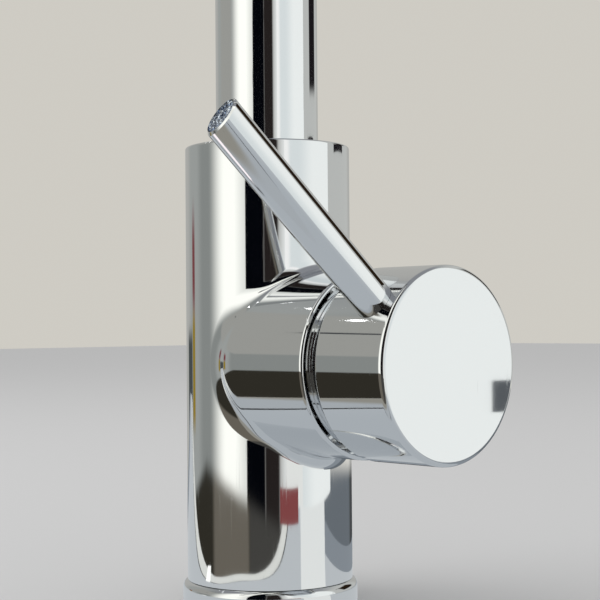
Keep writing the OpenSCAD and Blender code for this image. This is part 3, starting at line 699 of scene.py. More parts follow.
casting_skin.grid(hollow + hollow[:1], closed=False)
casting_skin.grid(housing_rows + housing_rows[:1], closed=False)
casting_skin.stitch([row[-1][0] for row in housing_rows], trim_rim, RIGHT, turn_about_valve)
low_ring, high_ring = drilled_side(casting_skin, body_radius, body_low, body_top - body_round,
                                   144, 48, [[strip[0][0] for strip in hollow], screw_rim], pi)
casting_skin.stitch(low_ring, socket_rim, -UP, turn_about_z)
top_ring = casting_skin.rounded_end(high_ring, body_radius, body_top - body_round, body_round,
                                    1, edge_steps)
casting_skin.stitch(top_ring, spout_rim, UP, turn_about_z)
casting_skin.build("casting", "tap_body", "chrome_body", "body")

# %% [markdown]
# ## The handle's cap
#
# A turned cap with a flat, mirror-bright face and a small rounding round it. Its side has
# the seat of the lever and the hole of the grub screw, so it is a drilled side like the
# body's; the hub and the hollow behind come from the CAD.

# %% Cap
cap_radius, cap_back, cap_front = 24.5, 43.1, 65.7
cap_front_round, cap_back_round, cap_hollow_radius, grub_place = 1.4, 0.8, 22.4, 54.5
from_cap = valve_axis.inverted()


def in_cap(point, normal):
    """A corner moved into the cap's own frame, whose Z is the handle's axis."""
    return from_cap @ point, from_cap.to_3x3() @ normal


def is_cap_outside(point, normal):
    point, normal = in_cap(point, normal)
    flat = Vector((point.x, point.y, 0))
    return any((
        on_side(flat, normal, cap_radius),
        point.z > cap_front - cap_front_round - touch and normal.z > 0.02,
        point.z < cap_back + cap_back_round + touch and normal.z < 0.3
        and flat.length > cap_hollow_radius - 0.1 and normal.dot(flat) > -0.1 * flat.length))


kept, rims = inner_faces("handle_cap", is_cap_outside)
rims = [[from_cap @ point for point in rim] for rim in rims]
cap_skin = Skin()
cap_skin.add([in_cap(*corner) for corner in corners] for corners in kept)
back_rim = rim_near(rims, 0, 0, cap_back)
seat_rim = rim_near(rims, cap_radius, 0, lever_place)
grub_rim = rim_near(rims, -cap_radius, 0, grub_place)
low_ring, high_ring = drilled_side(cap_skin, cap_radius, cap_back + cap_back_round,
                                   cap_front - cap_front_round, 144, 16, [seat_rim, grub_rim], pi / 2)
inner_back = cap_skin.rounded_end(low_ring, cap_radius, cap_back + cap_back_round, cap_back_round, -1, 8)
inner_front = cap_skin.rounded_end(high_ring, cap_radius, cap_front - cap_front_round,
                                   cap_front_round, 1, 8)
cap_skin.stitch(inner_back, back_rim, -UP, turn_about_z)
cap_skin.fan(inner_front, Vector((0, 0, cap_front)), UP)
cap_skin.build("cap", "handle", "chrome_handle", "handle_cap", valve_axis)

# %% [markdown]
# ## The lever
#
# A plain pin, turned and polished, with a stud that screws into the cap. Its tip is sawn
# off on a slant and bored for a plug. The bevel is a cone that stands square on the slant,
# so it is widest where the lever is longest: the bright wedge beside the plug.

# %% Lever
lever_radius, lever_seat, lever_middle, lever_tip, bevel_radius = 4.8, 23.3, 40.0, 85.8, 4.4
plug_radius, plug_bore, plug_bed = 4.2, 4.25, 82.8
tip_slant, tip_turn = radians(14), radians(28)
turns_round_lever = [2 * pi * k / 96 for k in range(96)]


def tipped(height):
    """The frame of the slanted plane that cuts the lever's axis at a height."""
    return (Matrix.Translation((0, 0, height)) @ Matrix.Rotation(tip_turn, 4, "Z")
            @ Matrix.Rotation(tip_slant, 4, "Y"))


def slanted_end(skin, radius, low, height, face_radius):
    """A rod's side up to its slanted end, and the bevel there. Returns the face's edge."""
    plane = tipped(height)
    side, bevel, edge = [[], []], [[], []], []
    for turn in turns_round_lever:
        way = Vector((cos(turn), sin(turn), 0))
        under, over = height - radius, height + radius
        while over - under > 1e-5:
            middle = (under + over) / 2
            spot = plane.inverted() @ (way * radius + Vector((0, 0, middle)))
            inside_cone = spot.xy.length < face_radius - spot.z
            under, over = (middle, over) if inside_cone else (under, middle)
        out = Vector((spot.x, spot.y, 0)).normalized()
        top = way * radius + Vector((0, 0, under))
        rim = plane @ (out * face_radius)
        leaned = plane.to_3x3() @ (out + UP).normalized()
        side[0].append((way * radius + Vector((0, 0, low)), way))
        side[1].append((top, way))
        bevel[0].append((top, leaned))
        bevel[1].append((rim, leaned))
        edge.append(rim)
    skin.grid(side)
    skin.grid(bevel)
    return edge


lever_skin = Skin()
spin(lever_skin, outline([
    (0, 12.3), (2.6, 12.3), (3.0, 12.7), (3.0, lever_seat), (lever_radius - 0.4, lever_seat, 0.1),
    (lever_radius, lever_seat + 0.4, 0.2), (lever_radius, lever_middle)])[:-1],
    len(turns_round_lever))
outer_edge = slanted_end(lever_skin, lever_radius, lever_middle, lever_tip, bevel_radius)
bore_edge = [Vector((plug_bore * cos(turn), plug_bore * sin(turn),
                     lever_tip - plug_bore * cos(turn - tip_turn) * math.tan(tip_slant)))
             for turn in turns_round_lever]
slant_normal = tipped(0).to_3x3() @ UP
lever_skin.grid([[(p, slant_normal) for p in outer_edge], [(p, slant_normal) for p in bore_edge]])
inwards = [Vector((-p.x, -p.y, 0)).normalized() for p in bore_edge]
bed_edge = [Vector((p.x, p.y, plug_bed)) for p in bore_edge]
lever_skin.grid([list(zip(bore_edge, inwards)), list(zip(bed_edge, inwards))])
lever_skin.fan(bed_edge, Vector((0, 0, plug_bed)), UP)
lever_skin.build("lever", "handle", "chrome_handle", "lever_pin", lever_axis)

# %% [markdown]
# ## Rings
#
# Two chromed rings are turned: the one that the body stands on, and the trim ring that
# shows in the gap between the housing and the cap.

# %% Rings
turned_part("foot_ring", "chrome_trim", "base_ring", [
    (16.8, 1.6), (20.65, 1.6), (20.65, 0), (23.8, 0, 0.3), (23.8, 6.5, 2.2), (16.8, 6.5, 0.2)],
    steps=10)
turned_part("gap_ring", "chrome_trim", "trim_ring", [
    (14.6, 33.0), (22.55, 33.0), (22.55, 34.6), (20.72, 34.6), (20.72, 36.6), (22.55, 36.6),
    (22.55, 38.2, 0.15), (21.2, 38.2, 0.2), (21.2, 41.2, 0.5), (14.6, 41.2, 0.3)], valve_axis)

# %% [markdown]
# ## Pieces grown by a rule
#
# The spout follows a path, the thread winds round the shank, and the plug's crystals are
# one small shape strewn many times. Each of these is a short Geometry Nodes tree with named
# sizes. The tree is evaluated once and its result kept as a plain mesh.

# %% Building and growing a tree
def new_rule(name, sizes):
    """A Geometry Nodes tree whose inputs are the named sizes, and a wire for each of them."""
    socket_of = {float: "Float", int: "Int", bpy.types.Material: "Material"}
    tree = bpy.data.node_groups.new(name, "GeometryNodeTree")
    tree.interface.new_socket("Geometry", in_out="OUTPUT", socket_type="NodeSocketGeometry")
    for label, value in sizes.items():
        tree.interface.new_socket(label, in_out="INPUT",
                                  socket_type="NodeSocket" + socket_of[type(value)])
    entry = tree.nodes.new("NodeGroupInput")
    return tree, {label: Wire(tree, entry.outputs[label]) for label in sizes}


def end_rule(tree, geometry, finish):
    """Ends a tree in plain geometry with its finish on it."""
    plain = node(tree, "GeometryNodeRealizeInstances", {"Geometry": geometry})
    dressed = node(tree, "GeometryNodeSetMaterial", {"Geometry": plain, "Material": finish})
    node(tree, "NodeGroupOutput", {"Geometry": dressed})


def grow(name, tree, sizes, wall=0.0):
    """The plain mesh object that a tree makes with these sizes."""
    seedling = put(name + " seedling", bpy.data.meshes.new(name + " seedling"))
    rule = seedling.modifiers.new("rule", "NODES")
    rule.node_group = tree
    for item in tree.interface.items_tree:
        if item.in_out == "INPUT":
            rule[item.identifier] = sizes[item.name]
    if wall:
        solid = seedling.modifiers.new("wall", "SOLIDIFY")
        solid.thickness, solid.offset, solid.use_even_offset = wall, -1.0, True
    evaluated = seedling.evaluated_get(bpy.context.evaluated_depsgraph_get())
    mesh = bpy.data.meshes.new_from_object(evaluated)
    mesh.name = name
    bpy.data.objects.remove(seedling)
    work = bmesh.new()
    work.from_mesh(mesh)
    bmesh.ops.remove_doubles(work, verts=work.verts, dist=1e-7)
    if work.calc_volume(signed=True) < 0:
        bmesh.ops.reverse_faces(work, faces=work.faces)
    poured(work, mesh)
    mesh.set_sharp_from_angle(angle=radians(35))
    return put(name, mesh)


# %% [markdown]
# ## The spout
#
# A drawn tube, bent over in half a circle. Its middle line is a rule: straight up, round
# the bend, straight down. The tree lays a line along it by its length and sweeps a circle
# along the line; a Solidify modifier then gives the tube its wall.

# %% Spout
spout_sizes = {
    "Foot height": 0.1108, "Bend height": 0.25, "Bend radius": 0.1, "Outlet height": 0.236,
    "Tube radius": 0.014, "Steps along": 161, "Steps round": 112,
    "Finish": finish_of["chrome_spout"]}
rule, size = new_rule("spout rule", spout_sizes)
rise = size["Bend height"] - size["Foot height"]
curl = size["Bend radius"] * pi
way = node(rule, "GeometryNodeSplineParameter", output="Factor")
walked = way * (rise + curl + size["Bend height"] - size["Outlet height"])
angle = ((walked - rise) / size["Bend radius"]).maths("MAXIMUM", 0.0).maths("MINIMUM", pi)
straight_up = walked.maths("MINIMUM", rise)
straight_down = (walked - rise - curl).maths("MAXIMUM", 0.0)
level = size["Foot height"] + straight_up - straight_down + size["Bend radius"] * angle.maths("SINE")
forward = size["Bend radius"] * angle.maths("COSINE") - size["Bend radius"]
line = node(rule, "GeometryNodeCurvePrimitiveLine", {"End": (0, 0, 1)})
line = node(rule, "GeometryNodeResampleCurve", {"Curve": line, "Count": size["Steps along"]})
path = node(rule, "GeometryNodeSetPosition",
            {"Geometry": line, "Position": xyz(rule, y=forward, z=level)})
ring = node(rule, "GeometryNodeCurvePrimitiveCircle",
            {"Resolution": size["Steps round"], "Radius": size["Tube radius"]})
tube = node(rule, "GeometryNodeCurveToMesh", {"Curve": path, "Profile Curve": ring})
end_rule(rule, tube, size["Finish"])
hand_over(grow("spout", rule, spout_sizes, wall=0.0012), "spout", "chrome_spout", "spout_tube")

# %% [markdown]
# ## The plug's crystals
#
# A disc is strewn with small five-sided crystals, none nearer to the next than a crystal's
# width. Each is turned and leaned by chance, with a fixed seed, so every render shows the
# same glitter.

# %% Plug
plug_skin = Skin()
plug_low, plug_face = plug_bed + 0.05, lever_tip - 0.38
plug_edge = slanted_end(plug_skin, plug_radius, plug_low, plug_face, plug_radius - 0.08)
plug_skin.fan(plug_edge, Vector((0, 0, plug_face)), slant_normal)
foot = [Vector((plug_radius * cos(turn), plug_radius * sin(turn), plug_low))
        for turn in turns_round_lever]
plug_skin.fan(foot, Vector((0, 0, plug_low)), -UP)
plug_skin.build("plug", "handle", "textured_plug", "lever_end_plug", lever_axis)

crystal_sizes = {"Face radius": 0.0039, "Crystal radius": 0.0004, "Crystal height": 0.00026,
                 "Seed": 4, "Finish": finish_of["textured_plug"]}
rule, size = new_rule("crystal rule", crystal_sizes)
face = node(rule, "GeometryNodeMeshCircle",
            {"Vertices": 48, "Radius": size["Face radius"]}, fill_type="NGON")
points = node(rule, "GeometryNodeDistributePointsOnFaces",
              {"Mesh": face, "Distance Min": size["Crystal radius"] * 1.25, "Density Max": 4.0e7,
               "Seed": size["Seed"]}, "Points", distribute_method="POISSON")
crystal = node(rule, "GeometryNodeMeshCone",
               {"Vertices": 5, "Radius Top": size["Crystal radius"] * 0.35,
                "Radius Bottom": size["Crystal radius"], "Depth": size["Crystal height"]}, "Mesh",
               fill_type="NGON")
leaning = node(rule, "FunctionNodeRandomValue",
               {0: (-0.5, -0.5, 0.0), 1: (0.5, 0.5, 2 * pi), "Seed": size["Seed"]},
               data_type="FLOAT_VECTOR")
strewn = node(rule, "GeometryNodeInstanceOnPoints",
              {"Points": points, "Instance": crystal, "Rotation": leaning})
end_rule(rule, strewn, size["Finish"])

crystals = grow("plug_crystals", rule, crystal_sizes)
crystals.data.transform(lever_axis @ tipped(plug_face - 0.07) @ Matrix.Scale(1 / MM, 4))
crystals.data.transform(Matrix.Scale(MM, 4))
hand_over(crystals, "handle", "textured_plug", "lever_end_plug")

# %% [markdown]
# ## The threaded shank
#
# The brass shank that clamps the tap to the worktop is threaded over its length below the
# body. A spiral with a small three-cornered section is swept round its core; the section
# stands on its flat side, so the thread and the core lie on each other without a gap.

# %% Shank and thread
turned_part("shank", "raw_brass", "mounting_shank", [
    (14.0, -75.0, 0.3), (15.5, -75.0, 0.4), (15.5, -73.6, 0.2), (15.7, -73.4, 0.1),
    (15.7, 6.2, 0.1), (16.5, 6.4, 0.1), (16.5, 19.95, 0.3), (14.0, 19.95, 0.3)], count=96)

thread_sizes = {"Core radius": 0.0157, "Depth": 0.0008, "Pitch": 0.0015, "Turns": 51.0,
                "Steps a turn": 64, "Finish": finish_of["raw_brass"]}
rule, size = new_rule("thread rule", thread_sizes)
winding = node(rule, "GeometryNodeCurveSpiral", {
    "Resolution": size["Steps a turn"], "Rotations": size["Turns"],
    "Start Radius": size["Core radius"], "End Radius": size["Core radius"],
    "Height": size["Pitch"] * size["Turns"]})
winding = node(rule, "GeometryNodeSetCurveNormal", {"Curve": winding}, mode="Z_UP")
half = size["Pitch"] * 0.46
crest = xyz(rule, size["Depth"] * -1.0)
section = node(rule, "GeometryNodeCurvePrimitiveQuadrilateral", {
    "Point 1": xyz(rule, y=half), "Point 2": xyz(rule, y=half * -1.0), "Point 3": crest,
    "Point 4": crest}, "Curve", mode="POINTS")
wound = node(rule, "GeometryNodeCurveToMesh",
             {"Curve": winding, "Profile Curve": section, "Fill Caps": True})
end_rule(rule, wound, size["Finish"])
thread = grow("shank_thread", rule, thread_sizes)
thread_start = -0.0722
thread.data.transform(Matrix.Translation((0, 0, thread_start)))
hand_over(thread, "tap_body", "raw_brass", "mounting_shank")

# %% [markdown]
# ## Washers, nut and gasket
#
# The nut is a hexagon whose corners a lathe has chamfered: where the cone of the chamfer
# meets the flats it leaves the curved edges that every nut shows.

# %% Nut
def nut(flats, bore, low, high, cone):
    """The faces of a nut with chamfered corners."""
    skin = Skin()
    columns = 120

    def rim(k):
        angle = 2 * pi * k / columns
        reach = flats / 2 / cos(angle % (pi / 3) - pi / 6)
        drop = max(0.0, (reach - cone) * math.tan(radians(30)))
        way = Vector((cos(angle), sin(angle), 0))
        return [way * bore + UP * low, way * cone + UP * low, way * reach + UP * (low + drop),
                way * reach + UP * (high - drop), way * cone + UP * high, way * bore + UP * high], way

    steep = 1.7 * UP
    for k in range(columns):
        (near, way_a), (far, way_b) = rim(k), rim(k + 1)
        face_angle = (k // (columns // 6)) * pi / 3 + pi / 6
        flat = Vector((cos(face_angle), sin(face_angle), 0))
        sides = ((-UP, -UP), (way_a - steep, way_b - steep), (flat, flat),
                 (way_a + steep, way_b + steep), (UP, UP), (-way_a, -way_b))
        for i, pair in enumerate(sides):
            a, b = pair[0].normalized(), pair[1].normalized()
            j = (i + 1) % 6
            skin.face((near[i], a), (far[i], b), (far[j], b), (near[j], a))
    return skin


nut(46.0, 16.55, -45.0, -35.0, 22.4).build("clamp_nut", "tap_body", "raw_brass", "mounting_nut")

# %% Washers and flat rings
def washer(name, slot, stands_for, inner, outer, low, high, rounds):
    """A flat ring with four rounded edges."""
    corners = zip((inner, outer, outer, inner), (low, low, high, high), rounds)
    turned_part(name, slot, stands_for, list(corners))


washer("clamp_washer", "zinc_steel", "steel_washer", 16.8, 25.0, -35.0, -33.0, (0.2, 0.3, 0.5, 0.2))
washer("clamp_rubber", "black_rubber", "rubber_washer", 16.8, 26.0, -33.0, -30.0, (0.3, 0.5, 0.5, 0.3))
washer("foot_gasket", "black_rubber", "base_gasket", 16.8, 20.5, 0, 1.6, (0.2, 0.3, 0.3, 0.2))
washer("slip_ring", "grey_acetal", "spout_slip_ring", 14.08, 15.95, 120.9, 124.2, (0.2, 0.2, 0.3, 0.2))

# %% [markdown]
# ## The aerator
#
# A turned collar with two flats for a spanner, screwed into the spout's end.

# %% Collar
outlet = Matrix.Translation((0, -200.0, 0))
collar_radius, flat_at = 13.5, 12.42
collar_skin = Skin()
for strip in outline([
        (10.2, 230.0), (9.6, 230.0, 0.1), (9.6, 229.0, 0.3), (collar_radius, 229.0, 0.5),
        (collar_radius, 236.0, 0.2), (12.0, 236.0), (12.0, 242.7), (11.7, 243.0), (10.2, 243.0)]):
    rows = []
    for point, normal in strip:
        row = []
        for k in range(144):
            angle = 2 * pi * k / 144
            way = Vector((cos(angle), sin(angle), 0))
            reach, out = point.x, way
            if point.x > 12.3 and abs(way.y) * collar_radius > flat_at:
                reach = point.x - collar_radius + flat_at / abs(way.y)
                out = Vector((0, math.copysign(1, way.y), 0))
            row.append((way * reach + Vector((0, 0, point.y)), out * normal.x + Vector((0, 0, normal.y))))
        rows.append(row)
    collar_skin.grid(rows)
collar_skin.build("aerator_collar", "spout", "chrome_trim", "aerator_housing", outlet)

# %% [markdown]
# ## Mesh in the mouth
#
# A fine steel mesh breaks the water into a soft stream. Two layers of wires lie crosswise,
# each wire a thin cylinder that is as long as the round mouth is wide at its place.

# %% Mesh in the mouth
mesh_sizes = {"Mouth radius": 0.00955, "Wires": 29, "Wire radius": 0.00014,
              "Finish": finish_of["steel_screw"]}
rule, size = new_rule("mesh rule", mesh_sizes)
place = node(rule, "GeometryNodeInputPosition", output="Position")
share = part_of(rule, place, "X") / size["Mouth radius"]
reach = (1 - share * share).maths("SQRT")
line = node(rule, "GeometryNodeMeshLine", {
    "Count": size["Wires"], "Start Location": xyz(rule, size["Mouth radius"] * -0.97),
    "Offset": xyz(rule, size["Mouth radius"] * 0.97)}, mode="END_POINTS")
wire = node(rule, "GeometryNodeMeshCylinder", {
    "Vertices": 6, "Radius": size["Wire radius"], "Depth": size["Mouth radius"] * 2.0},
    "Mesh", fill_type="NGON")
laid = node(rule, "GeometryNodeTransform", {"Geometry": wire, "Rotation": (pi / 2, 0, 0)})
layer = node(rule, "GeometryNodeInstanceOnPoints",
             {"Points": line, "Instance": laid, "Scale": xyz(rule, 1.0, reach, 1.0)})
joined = rule.nodes.new("GeometryNodeJoinGeometry")
for turn, side in ((0.0, -0.9), (pi / 2, 0.9)):
    turned = node(rule, "GeometryNodeTransform", {
        "Geometry": layer, "Rotation": (0, 0, turn),
        "Translation": xyz(rule, z=size["Wire radius"] * side)})
    rule.links.new(turned.socket, joined.inputs[0])
end_rule(rule, Wire(rule, joined.outputs[0]), size["Finish"])
stream_mesh = grow("stream_mesh", rule, mesh_sizes)
stream_mesh.data.transform(Matrix.Translation((0, -0.2, 0.2296)))
hand_over(stream_mesh, "spout", "steel_screw")

# %% [markdown]
# ## Camera
#
# The camera stands where the photograph was taken from: at the height of the handle, on
# the right of the spout, 0.39 m from the body's axis. The lens and the turn were solved
# from the outlines, so the render lies over the photograph.

# %% Camera
camera_data = bpy.data.cameras.new("camera")
camera_data.sensor_width = 36.0
camera_data.lens = 85.54
camera = put("camera", camera_data)
heading, yaw, pitch, roll = (radians(a) for a in (47.77, -1.252, 0.997, 0.461))
look = (Matrix.Rotation(heading + yaw, 4, "Z") @ Matrix.Rotation(pitch, 4, "X")
        @ Matrix.Rotation(roll, 4, "Y") @ Matrix.Rotation(pi / 2, 4, "X"))
camera.matrix_world = Matrix.Translation((0.2903, -0.2633, 0.0752)) @ look
bpy.context.scene.camera = camera
print("camera in m:", [round(v, 4) for v in camera.matrix_world.translation])
bpy.context.scene.view_settings.view_transform = "Standard"

# %% [markdown]
# ## Floor
#
# The worktop is a plain matt plane that catches the tap's soft shadow. Glossy rays pass
# through it: what the chrome mirrors instead are the cards of the next step.

# %% Floor
def flat_card(name, corners, material, show=("glossy", "transmission")):
    """A flat card of the studio, which only the named kinds of rays see."""
    mesh = bpy.data.meshes.new(name)
    mesh.from_pydata(corners, [], [list(range(len(corners)))])
    mesh.materials.append(material)
    card = put(name, mesh)
    for ray in ("camera", "diffuse", "glossy", "transmission", "shadow"):
        setattr(card, "visible_" + ray, ray in show)


floor_finish, tree = new_material("worktop")
principled(tree, {"Base Color": (0.64, 0.64, 0.64, 1), "Roughness": 0.8, "Specular IOR Level": 0.0})
flat_card("floor", [(-4, -4, 0), (4, -4, 0), (4, 4, 0), (-4, 4, 0)], floor_finish,
          ("camera", "diffuse", "shadow"))

# %% [markdown]
# ## What the chrome mirrors
#
# Chrome has no colour of its own: in plain white light it is a plain white stick. A studio
# gives it shape with a few large plain panels. Those that stand near the tap are cards,
# because each point of the chrome sees them at another angle: the strips of the worktop
# with a bulging dark line between them, the white card on the right with its bright foot,
# and a few small patches: painted highlights on the curved edge in front of the tap, and a
# painted reflection of the white card in the worktop. Some strips glow brighter for level
# rays than for steep ones, a painted sheen. Only glossy rays see them, so they shape the
# metal and leave the plain light on the rest alone.

# %% Glowing cards
def glowing(tree, colour, strength=1.0):
    return node(tree, "ShaderNodeEmission", {"Color": tinted(colour), "Strength": strength})


def glow(name, colour, strength=1.0):
    material, tree = new_material(name)
    surface(tree, glowing(tree, colour, strength))
    return material


def seen_low(tree, low, high):
    """1 where a ray comes in nearly level, 0 where it comes down steeply."""
    facing = node(tree, "ShaderNodeLayerWeight", {"Blend": 0.5, "Normal": xyz(tree, z=1.0)}, "Facing")
    return facing.step(low, high)


def sheen(name, steep, level, low=0.3, high=0.8):
    """A glow with one colour for steep rays and another for level ones."""
    material, tree = new_material(name)
    surface(tree, glowing(tree, blend(tree, seen_low(tree, low, high), steep, level)))
    return material


def half_seen(name, corners, colour, only_level=True, low=0.68, high=0.76):
    """A glowing card that only level rays see, or only steep ones."""
    material, tree = new_material(name)
    clear, shown = node(tree, "ShaderNodeBsdfTransparent"), glowing(tree, colour)
    steep, level = (clear, shown) if only_level else (shown, clear)
    surface(tree, node(tree, "ShaderNodeMixShader", {0: seen_low(tree, low, high), 1: steep, 2: level}))
    flat_card(name, corners, material)


def upright(a, b, low, high):
    """The corners of a card that stands on the line from a to b, between two heights."""
    return [(*a, low), (*b, low), (*b, high), (*a, high)]


# %% Strips of the worktop
def straight(y, z):
    """An edge that runs straight along X."""
    return lambda x: (y, z)


def bulging(side, z, depth=0.0275, width=0.05):
    """An edge along X, in front of the tap, with a round bulge to the front."""
    return lambda x: (
        -side - depth * math.exp(-((x - 0.015) / width) ** 2) - 0.12 * max(0.0, x - 0.06), z)


def strip_board(name, material, near, far):
    """A board between two edges, each of which gives Y and Z at a place along X."""
    places = [k / 10 for k in range(-12, -3)] + [k / 200 for k in range(-60, 61)]
    places += [k / 10 for k in range(4, 13)]
    corners = [(x, *near(x)) for x in places] + [(x, *far(x)) for x in reversed(places)]
    flat_card(name, corners, material)


back_edge_of_floor, front_edge_of_floor = straight(0.058, 0.0004), bulging(0.0485, -0.0012)
edge_of_line = bulging(0.0525, -0.0018)
strip_board("bright floor", sheen("bright floor", (0.45, 0.485, 0.515), (0.55, 0.58, 0.60)),
            back_edge_of_floor, front_edge_of_floor)
strip_board("dark line", sheen("dark line", (0.44, 0.47, 0.50), (0.03, 0.03, 0.03), 0.2, 0.3),
            front_edge_of_floor, edge_of_line)
strip_board("back strip", glow("back strip", (0.26, 0.29, 0.32)), straight(0.109, 0.0004),
            back_edge_of_floor)

# Painted sheen: level rays see the slope glow pale. Steep rays see it beige at the front and blue-grey
# further back.
slope, tree = new_material("front slope")
along_y = part_of(tree, here(tree), "Y")
steep = blend(tree, along_y.step(-0.096, -0.080), (0.31, 0.30, 0.265), (0.43, 0.46, 0.485))
surface(tree, glowing(tree, blend(tree, seen_low(tree, 0.6, 0.8), steep, (0.78, 0.79, 0.75))))
strip_board("front slope", slope, edge_of_line, bulging(0.088, -0.008, 0.04, 0.075))

# %% Cards and patches
# Painted reflection: the white card mirrored in the worktop beside it, as a glowing patch that only level
# rays see.
half_seen("painted card reflection", [
    (0.024, -0.008, 0.0008), (0.25, -0.008, 0.0008), (0.23, 0.165, 0.0008), (0.0235, 0.001, 0.0008)],
    (0.85, 0.87, 0.85))
# Painted highlight: the window's bright band on the curved edge in front of the tap, as a glowing patch
# that only steep rays see.
half_seen("painted edge highlight", [(x, y, 0.0006) for x, y in (
    (-0.018, -0.094), (-0.055, -0.086), (-0.088, -0.060), (-0.105, -0.020), (-0.105, 0.012),
    (-0.080, 0.012), (-0.078, -0.020), (-0.064, -0.048), (-0.044, -0.062), (-0.022, -0.070))],
    (1.2, 1.1, 1.12), False, 0.29, 0.34)
# Painted highlight: a bright spot of the window on the same curved edge, as a glowing patch that only
# level rays see.
half_seen("painted highlight spot", [
    (-0.026, -0.051, 0.0008), (-0.033, -0.0465, 0.0008), (-0.050, -0.067, 0.0008),
    (-0.044, -0.073, 0.0008)], (1.25, 1.25, 1.2))

card, tree = new_material("white card")
along_y = part_of(tree, here(tree), "Y")
shade = blend(tree, along_y.step(-0.075, -0.045), (1.0, 1.0, 0.98), (0.77, 0.82, 0.82))
surface(tree, glowing(tree, blend(tree, along_y.step(-0.01, 0.09), shade, (0.95, 0.98, 0.96))))
flat_card("white card", [
    (0.234, 0.008, 0.0), (0.194, 0.210, 0.0), (0.194, 0.210, 0.34), (0.254, -0.092, 0.34),
    (0.254, -0.092, 0.09)], card)
half_seen("foot of the card", [
    (0.254, -0.092, 0.0), (0.234, 0.008, 0.0), (0.234, 0.008, 0.05), (0.254, -0.092, 0.09)],
    (0.86, 0.87, 0.84))
flat_card("grey patch", upright((0.1985, 0.180), (0.194, 0.202), 0.040, 0.0525),
          glow("grey patch", (0.10, 0.11, 0.12)))
half_seen("red-brown patch", upright((0.169, -0.094), (0.191, -0.017), 0.0, 0.0137),
          (0.24, 0.065, 0.065))
flat_card("dark far strip", upright((0.136, 0.235), (0.0315, 0.266), 0.1521, 0.16),
          glow("dark far strip", (0.012, 0.010, 0.012)))

# %% [markdown]
# ## Small lamps
#
# Four small bright discs, each set where one point of the chrome over the housing mirrors
# it towards the camera. They are the pairs of sparks that lamps leave on curved metal.

# %% Small lamps
lamp_radius, lamp_distance, lamp_strength = 0.003, 0.26, 9.0
for k, (place, way) in enumerate((
        ((56.1, -21.9, 76.0), (-0.70, -0.42, 0.58)), ((45.3, -17.8, 81.8), (-0.71, -0.02, 0.71)),
        ((39.0, -20.0, 79.2), (-0.72, -0.22, 0.66)), ((14.1, -18.7, 80.8), (-0.75, -0.10, 0.66)))):
    way = Vector(way).normalized()
    side = way.cross(UP).normalized()
    middle = Vector(place) * MM + way * lamp_distance
    corners = [middle + lamp_radius * (side * cos(turn) + side.cross(way) * sin(turn))
               for turn in (pi / 4 * i for i in range(8))]
    flat_card(f"small lamp {k}", corners, glow(f"small lamp {k}", (1, 1, 1), lamp_strength))
print("lamps:", k + 1)

# %% [markdown]
# ## The room far from the tap
#
# What stands further off looks the same from every point of the tap, so it is the world: a
# window on the left, a black flag beside it, plain walls and a dark lower wall with a
# slanting top. Each is a plain colour between named angles, laid over those before it.
# Angles are in degrees: `around` counts to the right from the camera's own side of the
# tap, `above` counts up from the horizon. Only what is mirrored sees this room.

# %% Angles of the room
world = bpy.data.worlds.new("studio")
bpy.context.scene.world = world
world.use_nodes = True
tree = world.node_tree
tree.nodes.clear()

camera_side = radians(42.2)
seen = node(tree, "ShaderNodeTexCoord", output="Generated")
turned_way = node(tree, "ShaderNodeVectorRotate", {"Vector": seen, "Angle": camera_side},
                  rotation_type="Z_AXIS")
x_way, y_way, z_way = (part_of(tree, turned_way, axis) for axis in "XYZ")
around = y_way.maths("ARCTAN2", x_way) * (180 / pi)
above = z_way.maths("ARCSINE") * (180 / pi)


def between(value, low, high, soft):
    """1 between two angles, with soft edges."""
    return value.step(low - soft, low + soft) * (1 - value.step(high - soft, high + soft))


def patch(left, right, soft_side, low, high, soft_end):
    """1 on a patch of the room between two sides and two heights."""
    return between(around, left, right, soft_side) * between(above, low, high, soft_end)


def layered(colour, *layers):
    """A colour with others laid over it, each a pair of a share and a colour."""
    for share, over in layers:
        colour = blend(tree, share, colour, over)
    return colour


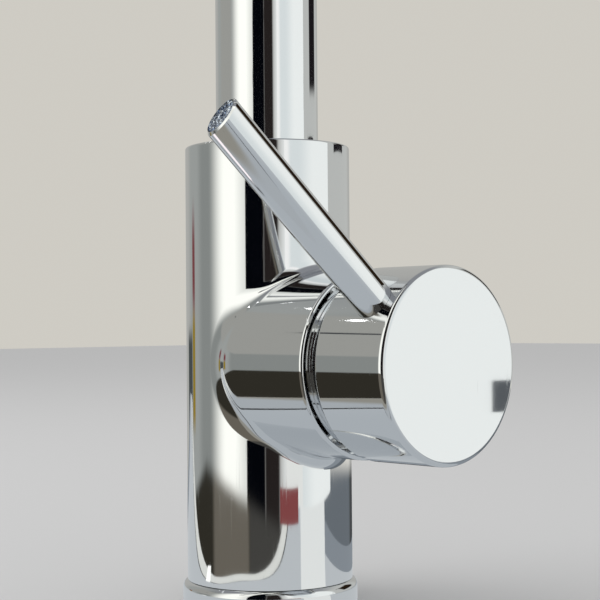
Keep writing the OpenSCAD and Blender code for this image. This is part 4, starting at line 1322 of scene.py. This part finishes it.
# %% Colours of the room
fall = around + 98
slant = fall.maths("MAXIMUM", 0.0) * -0.022 + fall.maths("MINIMUM", 0.0) * 0.04
top_of_wall = (slant - 5.8) * (1 - around.step(55, 75)) - 6.0 * around.step(55, 75)
low_wall = layered(
    (0.032, 0.029, 0.022),
    (between(around, -84, -28, 4), (0.15, 0.135, 0.11)),
    (between(around, -28, 18, 3), (0.062, 0.060, 0.055)),
    (between(around, 70, 150, 8), (0.15, 0.17, 0.19)),
    (around.step(148, 160), (0.07, 0.075, 0.08)))
room = layered(
    # The walls, from the left round to the right, and the ceiling.
    (0.44, 0.44, 0.42),
    (between(around, -142, -60, 8), (0.36, 0.375, 0.36)),
    (between(around, -110, -60, 8), (0.265, 0.28, 0.268)),
    (patch(-125, -86, 5, 7.8, 38, 0.8), (0.36, 0.36, 0.335)),
    (between(around, 60, 152, 8), (0.54, 0.55, 0.53)),
    (around.step(11, 25) * (1 - around.step(86, 91)), (0.85, 0.87, 0.85)),
    (above.step(34, 62), (0.26, 0.27, 0.29)),
    (patch(60, 150, 10, -6.5, -4.6, 0.4), (0.80, 0.78, 0.72)),
    # The window, its darker side, the black flag and the dark lower wall.
    (around.step(-91, -61) * (1 - around.step(-31.4, -30.6)), (1.2, 1.2, 1.12)),
    (between(around, -46, -30.8, 0.3) * around.step(-50, -30) * 0.5, (0.55, 0.57, 0.54)),
    (between(around, -31, -6, 0.6), (0.001, 0.0015, 0.003)),
    (between(around, -6, 14, 2), (0.02, 0.016, 0.015)),
    (1 - (above - top_of_wall).step(-0.25, 0.7), low_wall),
    # Dark patches and lines on the walls.
    (patch(112, 141, 3, 13, 30, 2), (0.02, 0.012, 0.006)),
    (patch(-101.4, -97, 0.3, 25.3, 26.3, 0.2), (0.04, 0.045, 0.05)),
    (patch(112.5, 138.5, 1.2, 9.3, 15, 0.3), (0.012, 0.010, 0.012)),
    # Coloured lines at the body's left edge.
    (patch(-150, -133, 2, -6, -0.3, 0.5), (0.07, 0.08, 0.08)),
    (patch(-131.5, -124, 0.8, 0.6, 4.2, 1.2), (0.20, 0.06, 0.065)),
    (patch(-131.5, -124, 0.8, -4, 0.4, 0.6), (0.30, 0.21, 0.03)))

mirrored = node(tree, "ShaderNodeLightPath", output="Is Glossy Ray")
camera_ray = node(tree, "ShaderNodeLightPath", output="Is Camera Ray")
plain = blend(tree, camera_ray, (0.75, 0.75, 0.75), (0.62, 0.60, 0.55))
background = node(tree, "ShaderNodeBackground",
                  {"Color": blend(tree, mirrored, plain, room), "Strength": 1.0})
node(tree, "ShaderNodeOutputWorld", {"Surface": background})
print("nodes of the room:", len(tree.nodes))

# %% [markdown]
# ## Soft light from the upper left
#
# One large light shades the worktop and everything that isn't polished. The chrome doesn't
# mirror it.

# %% Soft light from the upper left
key_data = bpy.data.lights.new("soft key", "AREA")
key_data.size = 1.2
key_data.energy = 7.0
key_data.specular_factor = 0.0
key = put("soft key", key_data)
key.location = (-0.5, -0.7, 1.3)
key.rotation_euler = (Vector((0, 0, 0.1)) - key.location).to_track_quat("-Z", "Y").to_euler()
key.visible_glossy = False
